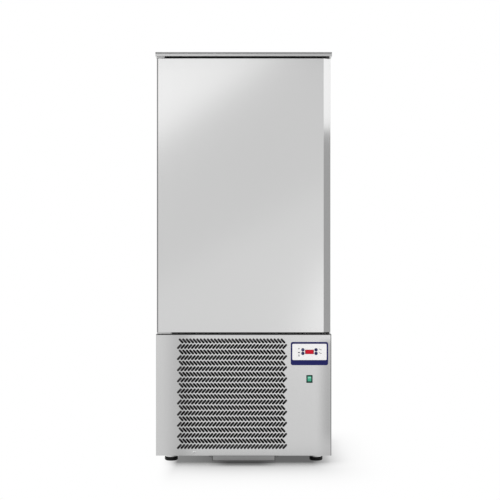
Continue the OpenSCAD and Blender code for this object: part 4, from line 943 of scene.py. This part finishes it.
DOOR_BACK, DOOR_MIDDLE = -334, 1204           # y of the door's back, z of its middle
GASKET_HALF_WIDE, GASKET_HALF_TALL, GASKET_CORNER = 345, 574, 15     # along its inner edge
gasket_section = [(0.5, 0), (21.5, 0), (21.5, 1.4), (17.5, 2.2), (19.6, 3.6), (21.6, 4.6), (21.8, 6.6),
                  (20.8, 7.5), (13.8, 7.6), (13.2, 7.1), (8.8, 7.1), (8.2, 7.6), (1.4, 7.5), (0.3, 6.6),
                  (0.4, 4.6), (2.4, 3.6), (4.5, 2.2), (0.5, 1.4)]
gasket = Stock(gasket_rubber)
rings = []
for out, back in gasket_section:
    loop = round_rectangle(GASKET_HALF_WIDE + out, GASKET_HALF_TALL + out, GASKET_CORNER + out)
    rings.append([(px, DOOR_BACK + back, DOOR_MIDDLE + pz) for px, pz in loop])
gasket.skin(rings, closed_path=True)
gasket.piece("magnetic_gasket", "door", "door_gasket", "door_gasket", sharp=50)

# %% [markdown]
# ## The strips in the door's gaps
# Above and below the door a dark line shows, the shade deep in the gaps. Dark strips are put
# onto the frame there to stand for that shade: painted shade, black below and grey above. They
# are plain extrusions with rounded edges, and each one leaves room for the hinge plate.

# %% Put two dark strips of painted shade onto the frame
FRAME_FRONT = -326
STRIP_RIGHT, STRIP_THICK, STRIP_TALL = 389, 3, 8.8
# dark strips of painted shade in the gaps above and below the door
for name, finish, left, bottom in (("gap_strip_lower", rubber, -326, 578.6),
                                   ("gap_strip_upper", gap_shade_grey, -355, 1820.6)):
    strip = Stock(finish)
    strip.block((left, FRAME_FRONT - STRIP_THICK, bottom),
                (STRIP_RIGHT, FRAME_FRONT, bottom + STRIP_TALL), bevel=0.9)
    strip.piece(name, "cabinet", "door_gasket")

# %% [markdown]
# ## The marks beside the keys
# The printed signs tell what each lamp and key does. They are ink a few hundredths of a
# millimetre thick, so each sign is a flat outline with that thickness, laid on the face or
# on a key. Only plain signs are used: a frost star, a bar, a drop, arrows and short dashes.

# %% Print the marks
INK = 0.05                        # its thickness
SIGNS_X = 248.5                   # the column of signs left of the keys
FACE_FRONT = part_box("control_face")[0][1] / MM
KEY_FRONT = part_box("key_upper_left")[0][1] / MM


class Print(Stock):
    """Flat outlines of ink that face the front, at one depth."""

    def __init__(self, finish, depth):
        super().__init__(finish)
        self.depth = depth

    def outline(self, points):
        layers = [[(px, y, pz) for px, pz in points] for y in (self.depth - INK, self.depth)]
        self.skin(layers, ends=True)

    def bar(self, x, z, long, wide, turn=0):
        a = math.radians(turn)
        corners = [(-long, -wide), (long, -wide), (long, wide), (-long, wide)]
        self.outline([(x + (u * math.cos(a) - v * math.sin(a)) / 2,
                       z + (u * math.sin(a) + v * math.cos(a)) / 2) for u, v in corners])

    def arc(self, x, z, radius, wide, start=0, end=360, steps=24):
        angles = [math.radians(start + (end - start) * i / steps) for i in range(steps + 1)]
        outer, inner = radius + wide / 2, radius - wide / 2
        for a, b in zip(angles, angles[1:]):
            self.outline([(x + r * math.cos(t), z + r * math.sin(t))
                          for r, t in ((inner, a), (outer, a), (outer, b), (inner, b))])

    def pointer(self, x, z, size, up):
        self.outline([(x - size, z - up * size / 2), (x + size, z - up * size / 2), (x, z + up * size)])


star = Print(mark_grey, FACE_FRONT)
for turn in (30, 90, 150):
    star.bar(SIGNS_X, 514.6, 9.5, 1.2, turn)
star.piece("mark_frost_star", "cabinet", "control_face")

level = Print(mark_dark, FACE_FRONT)
level.bar(SIGNS_X, 497, 8.5, 4.2)
level.piece("mark_fan_bar", "cabinet", "control_face")

drop = Print(mark_grey, FACE_FRONT)
drop.arc(SIGNS_X, 482.4, 2.6, 2.2)
drop.pointer(SIGNS_X, 487, 2.6, 1)
drop.piece("mark_drop", "cabinet", "control_face")

dashes = Print(mark_warm, FACE_FRONT)
for z in (510.6, 494.4):
    dashes.bar(341.5, z + 1.6, 6.5, 2.4, -22)
    dashes.bar(347.5, z - 1.2, 7, 2.4, -12)
dashes.piece("mark_dashes", "cabinet", "control_face")

# %% Print the signs on the keys
KEY_X, KEY_Z = (266.4, 325.6), (493.3, 509.3)
for side, column in zip(KEY_X, ("left", "right")):
    for height, row in zip(KEY_Z, ("lower", "upper")):
        key = f"key_{row}_{column}"
        sign = Print(mark_pale if column == "left" else mark_blue, KEY_FRONT)
        if column == "right":
            sign.pointer(side, height, 1.8, 1 if row == "upper" else -1)
        elif row == "upper":
            sign.arc(side, height, 1.6, 0.9)
        else:
            sign.bar(side, height, 1.4, 1.4, 45)
            sign.arc(side, height, 2.1, 0.6, 20, 160, 8)
        sign.piece("sign_" + key, key, key)

# %% [markdown]
# ## Recipes for what repeats
# Fins, wires and screws repeat by rule, so Geometry Nodes make them. A recipe is a node tree
# with named sizes. It runs once on a seed object, whose points may say where the copies go,
# and the evaluated result is taken as a plain mesh, so nothing live is left on the piece.

# %% A recipe with named sizes
class Recipe(Bench):
    """A Geometry Nodes tree that is run once."""

    def __init__(self, name):
        super().__init__(bpy.data.node_groups.new(name, "GeometryNodeTree"))
        sockets = self.tree.interface
        sockets.new_socket("Places", in_out="INPUT", socket_type="NodeSocketGeometry")
        sockets.new_socket("Result", in_out="OUTPUT", socket_type="NodeSocketGeometry")
        self.entry = self.tree.nodes.new("NodeGroupInput")
        self.places = Wire(self, self.entry.outputs["Places"])
        self.sizes = {}
        self.patterns = []

    def size(self, name, value, kind="Float"):
        """A named input, with the value that this run gives it."""
        socket = self.tree.interface.new_socket(name, in_out="INPUT", socket_type="NodeSocket" + kind)
        self.sizes[socket.identifier] = value
        return Wire(self, self.entry.outputs[name])

    def pattern(self, stock):
        """A shape made by hand, for the recipe to copy."""
        made = bpy.data.objects.new("pattern", stock.as_mesh("pattern"))
        self.patterns.append(made)
        return self.node("GeometryNodeObjectInfo", inputs={"Object": made}, out="Geometry")

    def combine(self, x=0.0, y=0.0, z=0.0):
        return self.node("ShaderNodeCombineXYZ", inputs=[x, y, z])

    def index(self):
        return self.node("GeometryNodeInputIndex")

    def row(self, count, start=(0, 0, 0), step=(0, 0, 0)):
        """A row of points."""
        return self.node("GeometryNodeMeshLine", {"mode": "OFFSET", "count_mode": "TOTAL"},
                         {"Count": count, "Start Location": start, "Offset": step})

    def copies(self, points, shape, turn=None, scale=None):
        return self.node("GeometryNodeInstanceOnPoints", inputs={
            "Points": points, "Instance": shape, "Rotation": turn, "Scale": scale})

    def real(self, shape):
        return self.node("GeometryNodeRealizeInstances", inputs=[shape])

    def wire_along(self, curve, radius, sides):
        """Sweeps a round wire along a curve."""
        round_section = self.node("GeometryNodeCurvePrimitiveCircle", {"mode": "RADIUS"},
                                  {"Resolution": sides, "Radius": radius})
        return self.node("GeometryNodeCurveToMesh", inputs={
            "Curve": curve, "Profile Curve": round_section, "Fill Caps": True})

    def joined(self, *parts):
        joined = self.node("GeometryNodeJoinGeometry")
        for part in parts:
            self.tree.links.new(part.socket, joined.socket.node.inputs[0])
        return joined

    def finished(self, shape, finish):
        return self.node("GeometryNodeSetMaterial",
                         inputs={"Geometry": self.real(shape), "Material": finish})

    def run(self, name, shape, places=()):
        """Runs the recipe and returns its plain mesh."""
        end = self.tree.nodes.new("NodeGroupOutput")
        self.tree.links.new(shape.socket, end.inputs[0])
        start = bpy.data.meshes.new(name + "_places")
        start.from_pydata([place(*p) for p in places], [], [])
        seed = bpy.data.objects.new(name + "_seed", start)
        scene.collection.objects.link(seed)
        modifier = seed.modifiers.new(name, "NODES")
        modifier.node_group = self.tree
        for identifier, value in self.sizes.items():
            modifier[identifier] = value
        graph = bpy.context.evaluated_depsgraph_get()
        mesh = bpy.data.meshes.new_from_object(seed.evaluated_get(graph))
        seed.modifiers.remove(modifier)
        for helper in [seed] + self.patterns:
            bpy.data.objects.remove(helper)
        mesh.name = name
        return mesh


# %% [markdown]
# ## The fan guards
# Behind the racks a steel panel carries three fans, each behind a welded wire guard: rings
# of wire on four radial stays. The rings are one unit circle, copied and scaled by the copy's
# number before the wire is swept along it, so every ring has the same wire thickness.

# %% Weld the three guards
FAN_HEIGHTS = (840, 1204, 1568)
FAN_PANEL = 112           # front face of the fan panel
WIRE_RADIUS, RING_STEP, RINGS, STAYS = 1.3, 16.6, 8, 4
WIRE_OFF = 1.35           # from the panel to the middle of the rings' wire
guard_steel = drawn_metal("steel_guard_wire", shade(0.6), 0.3, uneven=0.1)
guard = Recipe("wire_guard")
wire = guard.size("Wire radius", WIRE_RADIUS * MM)
ring_step = guard.size("Ring step", RING_STEP * MM)
ring_count = guard.size("Rings", RINGS, "Int")
stay_count = guard.size("Stays", STAYS, "Int")
unit = guard.node("GeometryNodeCurvePrimitiveCircle", {"mode": "RADIUS"},
                  {"Resolution": 64, "Radius": 1.0})
reach = (guard.index() + 1.0) * ring_step
rings = guard.real(guard.copies(guard.row(ring_count), unit, scale=guard.combine(reach, reach, reach)))
rings = guard.wire_along(rings, wire, 8)
stay = guard.node("GeometryNodeCurvePrimitiveLine", {"mode": "POINTS"}, {
    "Start": guard.combine(ring_step, 0.0, -2.0 * wire),
    "End": guard.combine(RINGS * ring_step, 0.0, -2.0 * wire)})
turns = guard.combine(0.0, 0.0, (guard.index() + 0.5) * (2 * math.pi) / stay_count)
stays = guard.real(guard.copies(guard.row(stay_count), stay, turn=turns))
stays = guard.wire_along(stays, wire * 1.25, 8)
upright = guard.node("GeometryNodeTransform", inputs={
    "Geometry": guard.joined(rings, stays), "Rotation": (math.pi / 2, 0, 0)})
all_guards = guard.copies(guard.places, upright)
wires = guard.run("fan_guard_wires", guard.finished(all_guards, guard_steel),
                  [(0, FAN_PANEL - WIRE_OFF, z) for z in FAN_HEIGHTS])
settle("fan_guard_wires", wires, "cabinet", "fan_guards", "fan_guards", sharp=60)

# %% [markdown]
# ## The fan rotors
# An axial fan's blade is broad at its tip, leans forward and is pitched more steeply at the
# hub than at the tip. Each blade is a thin shell over a grid of points: one way along the
# radius, the other along the chord, with camber. Five blades stand round a hub that is
# turned with a rounded nose and a recess for the shaft.

# %% Mould the rotors
BLADES, SPANS, CHORDS = 5, 7, 9   # a blade's grid has so many steps along its span and its chord
HUB_PITCH, TIP_PITCH_LESS, LEAD = 40, 14, 16      # in degrees


def rotor_blades(stock, centre, hub_r, tip_r, depth):
    """Thin shells with camber, pitched and leaning forward, round an axis along Y."""
    x, y, z = centre
    for n in range(BLADES):
        front, back = [], []
        for i in range(SPANS + 1):
            share = i / SPANS
            r = hub_r - 3 + (tip_r - hub_r + 3) * share
            pitch = math.radians(HUB_PITCH - TIP_PITCH_LESS * share)
            chord = (0.62 + 0.1 * math.sin(math.pi * share)) * 2 * math.pi * r / BLADES
            chord = min(chord, depth * 1.18 / math.sin(pitch))
            lead = math.radians(LEAD) * share ** 1.5
            for side, rows in ((1, front), (-1, back)):
                row = []
                for j in range(CHORDS + 1):
                    s = j / CHORDS - 0.5
                    thick = 0.9 * (1 - (2 * s) ** 4) + 0.12
                    camber = chord * 0.07 * (1 - 4 * s * s)
                    phi = 2 * math.pi * n / BLADES + lead + s * chord * math.cos(pitch) / r
                    axial = s * chord * math.sin(pitch) - camber * math.cos(pitch) + side * thick
                    row.append((x + r * math.sin(phi), y + axial, z + r * math.cos(phi)))
                rows.append(row)
        stock.skin([f + b[::-1] for f, b in zip(front, back)], ends=True)


def rotor(name, body, node, centre, radius, hub_radius, depth):
    """A hub with a rounded nose and a hollow back, its blades, and a washer on the shaft."""
    made = Stock(black_plastic, steel_turned)
    half = depth / 2
    made.turned([(0, -half + 3.2), (4, -half + 3), (7, -half + 0.6), (hub_radius * 0.72, -half),
                 (hub_radius - 3, -half + 1.4), (hub_radius - 0.6, -half + 4), (hub_radius, -half + 7),
                 (hub_radius, half), (hub_radius - 2.4, half), (hub_radius - 2.4, -half + 8),
                 (8, -half + 6), (8, half - 1), (5.2, half - 1), (5.2, -half + 5.4), (0, -half + 5.4)],
                centre, "Y", 48)
    rotor_blades(made, centre, hub_radius, radius, depth)
    washer = [(0, -half + 2.8), (5.4, -half + 2.6), (5.4, -half + 3.4), (0, -half + 3.6)]
    made.turned(washer, centre, "Y", 20, 1)
    made.piece(name, body, node, node, sharp=40)


for number, z in enumerate(FAN_HEIGHTS, 1):
    rotor(f"chamber_rotor_{number}", f"evaporator_fan_{number}", f"fan_rotor_{number}",
          (0, 136.2, z), radius=117.5, hub_radius=38, depth=26)
rotor("condenser_fan_rotor", "condenser_fan", "condenser_rotor",
      (-95, -221, 275), radius=146.5, hub_radius=38, depth=28)

# %% [markdown]
# ## The finned coils
# Both coils are stacks of thin folded fins on rows of tube, between two end plates, with
# return bends that join the tubes outside a plate. One fin is drawn as a folded band and
# copied along the coil; the tubes and the bends are copied to points at their places.

# %% A folded band, for fins and for the filter mat
def folded_band(stock, low, high, folds, depth, thick, along="Y"):
    """A zigzag sheet that stands upright between two corners, folded back and forth."""
    front, back = [], []
    run = 1 if along == "Y" else 0
    for i in range(folds + 1):
        at_run = low[run] + (high[run] - low[run]) * i / folds
        swing = depth * (0.5 if i % 2 else -0.5)
        middle = (low[1 - run] + high[1 - run]) / 2 + swing
        for rows, side in ((front, thick / 2), (back, -thick / 2)):
            point = [0, 0]
            point[run], point[1 - run] = at_run, middle + side
            rows.append(point)
    outline = front + back[::-1]
    rings = [[(px, py, pz) for px, py in outline] for pz in (low[2], high[2])]
    stock.skin(rings, ends=True)


def half_ring(radius, steps, centre, side):
    """Points of a return bend in the XZ plane that swells to one side in X."""
    x, y, z = centre
    return [(x + side * radius * math.sin(a), y, z - radius * math.cos(a))
            for a in (math.pi * i / steps for i in range(steps + 1))]


# %% One recipe for both coils
END_PLATE, TUBE_RADIUS, BEND_RADIUS = 3, 5, 13


def finned_coil(name, node, fin_finish, low, high, plates, fin_gap, tube_rows, side):
    """A coil from low to high; plates gives its end plates' reach in y and z, tube_rows the
    (y, z) middles of its return bends, and side the end that they are on."""
    coil = Recipe(name)
    gap = coil.size("Fin gap", fin_gap * MM)
    count = int((high[0] - low[0] - 2) / fin_gap)
    number = coil.size("Fins", count, "Int")
    fin = Stock()
    folded_band(fin, (-0.5, low[1] + 0.3, low[2]), (0.5, high[1] - 0.3, high[2]), 10, 1.2, 0.35)
    first = (high[0] + low[0] - (count - 1) * fin_gap) / 2 * MM
    fins = coil.copies(coil.row(number, (first, 0, 0), coil.combine(gap)), coil.pattern(fin))

    x_plate = high[0] + END_PLATE if side > 0 else low[0] - END_PLATE
    pipe = Stock()
    far = (low[0] - 3.4) if side > 0 else (high[0] + 3.4)     # just through the other plate
    for dz in (-BEND_RADIUS, BEND_RADIUS):
        pipe.tube([(x_plate, 0, dz), (far, 0, dz)], TUBE_RADIUS)
    pipe.tube([(x_plate - side, 0, -BEND_RADIUS)] + half_ring(BEND_RADIUS, 8, (x_plate, 0, 0), side)
              + [(x_plate - side, 0, BEND_RADIUS)], TUBE_RADIUS)
    pipes = coil.copies(coil.places, coil.pattern(pipe))

    sheet = Stock()
    for x0, x1 in ((low[0] - END_PLATE, low[0] - 0.2), (high[0] + 0.2, high[0] + END_PLATE)):
        sheet.block((x0, plates[0], plates[2]), (x1, plates[1], plates[3]), bevel=0.4)
    ends = coil.pattern(sheet)
    parts = [coil.finished(fins, fin_finish), coil.finished(pipes, copper), coil.finished(ends, zinc)]
    mesh = coil.run(name, coil.joined(*parts), [(0, ty, tz) for ty, tz in tube_rows])
    print(name, "has", count, "fins and", 2 * len(tube_rows), "tubes")
    settle(name, mesh, "cabinet", node, node, sharp=50)


finned_coil("evaporator_finned", "evaporator_coil", aluminium, (-300, 225, 685), (300, 325, 1733),
            plates=(219, 335.9, 679, 1739), fin_gap=6, side=-1,
            tube_rows=[(ty, 735 + 64 * i) for i in range(15) for ty in (250, 300)])
finned_coil("condenser_finned", "condenser_coil", black_fins, (-290, -345, 65), (100, -285, 485),
            plates=(-345, -285, 35.1, 485), fin_gap=4, side=1,
            tube_rows=[(-315, 105 + 50 * i) for i in range(8)])

# %% [markdown]
# ## The air filter
# Dust is kept off the condenser by a dark mat behind the grille. From the front it is only
# the black inside the slots. It is a pleated fleece, so it is one long folded band, and its
# fibres are in the finish.

# %% Pleat the filter mat
pleats = Stock(mat.material)
low, high = [Vector(corner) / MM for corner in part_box("air_filter")]
PLAY = Vector((0.3, 0.3, 0.3))
folded_band(pleats, low + PLAY, high - PLAY, folds=60, depth=8.6, thick=2.4, along="X")
pleats.piece("filter_mat_pleated", "cabinet", "air_filter", "air_filter", sharp=60)

# %% [markdown]
# ## The foam below the filter
# A strip of black foam closes the gap between the filter's frame and the base. Without it
# air would pass below the mat, and the lowest row of slots would look onto bare zinc.

# %% Lay the foam strip under the filter's frame
black_foam = cellular("foam_strip_black", seen(14, 14, 15), 700.0, 0.0003)
frame_low, frame_high = [Vector(corner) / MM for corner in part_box("filter_frame")]
FOAM_INSET, FOAM_FRONT, FOAM_BACK = 2, 1, 9       # from the frame's sides and from its front
FOAM_FOOT, FOAM_TOP = 14.5, 0.2                   # both below the frame
strip = Stock(black_foam)
strip.block((frame_low.x + FOAM_INSET, frame_low.y + FOAM_FRONT, frame_low.z - FOAM_FOOT),
            (frame_high.x - FOAM_INSET, frame_low.y + FOAM_BACK, frame_low.z - FOAM_TOP), bevel=1.2)
strip.piece("filter_foam_strip", "cabinet", "filter_frame")

# %% [markdown]
# ## Small screws
# The rear grille is held by eight pan-head screws, the same kind as the front panel's. The
# recipe copies a head and its recess to the points of its seed object.

# %% Screws round the rear grille
def screws(name, places, slot, turn, radius, height):
    """Pan-head screws at the given places, turned about Z to face their side."""
    recipe = Recipe(name)
    about = recipe.size("Turn", turn)
    head, recess = Stock(), Stock()
    pan_head(head, recess, (0, 0, 0), radius, height)
    turned = recipe.combine(0.0, 0.0, about)
    parts = [recipe.finished(recipe.copies(recipe.places, recipe.pattern(stock), turned), finish)
             for stock, finish in ((head, steel_bright), (recess, recess_shade_grey))]
    settle(name, recipe.run(name, recipe.joined(*parts), places), "cabinet", slot, sharp=40)


REAR_SHEET = 397.2                # y of the rear grille's outer face
spots = [(x, z) for x in (-310, 310) for z in (84, 223, 378, 517)]
spots += [(x, z) for x in (-100, 100) for z in (84, 517)]
screws("rear_grille_screws", [(x, REAR_SHEET, z) for x, z in spots], "rear_grille",
       turn=math.pi, radius=4, height=2.2)
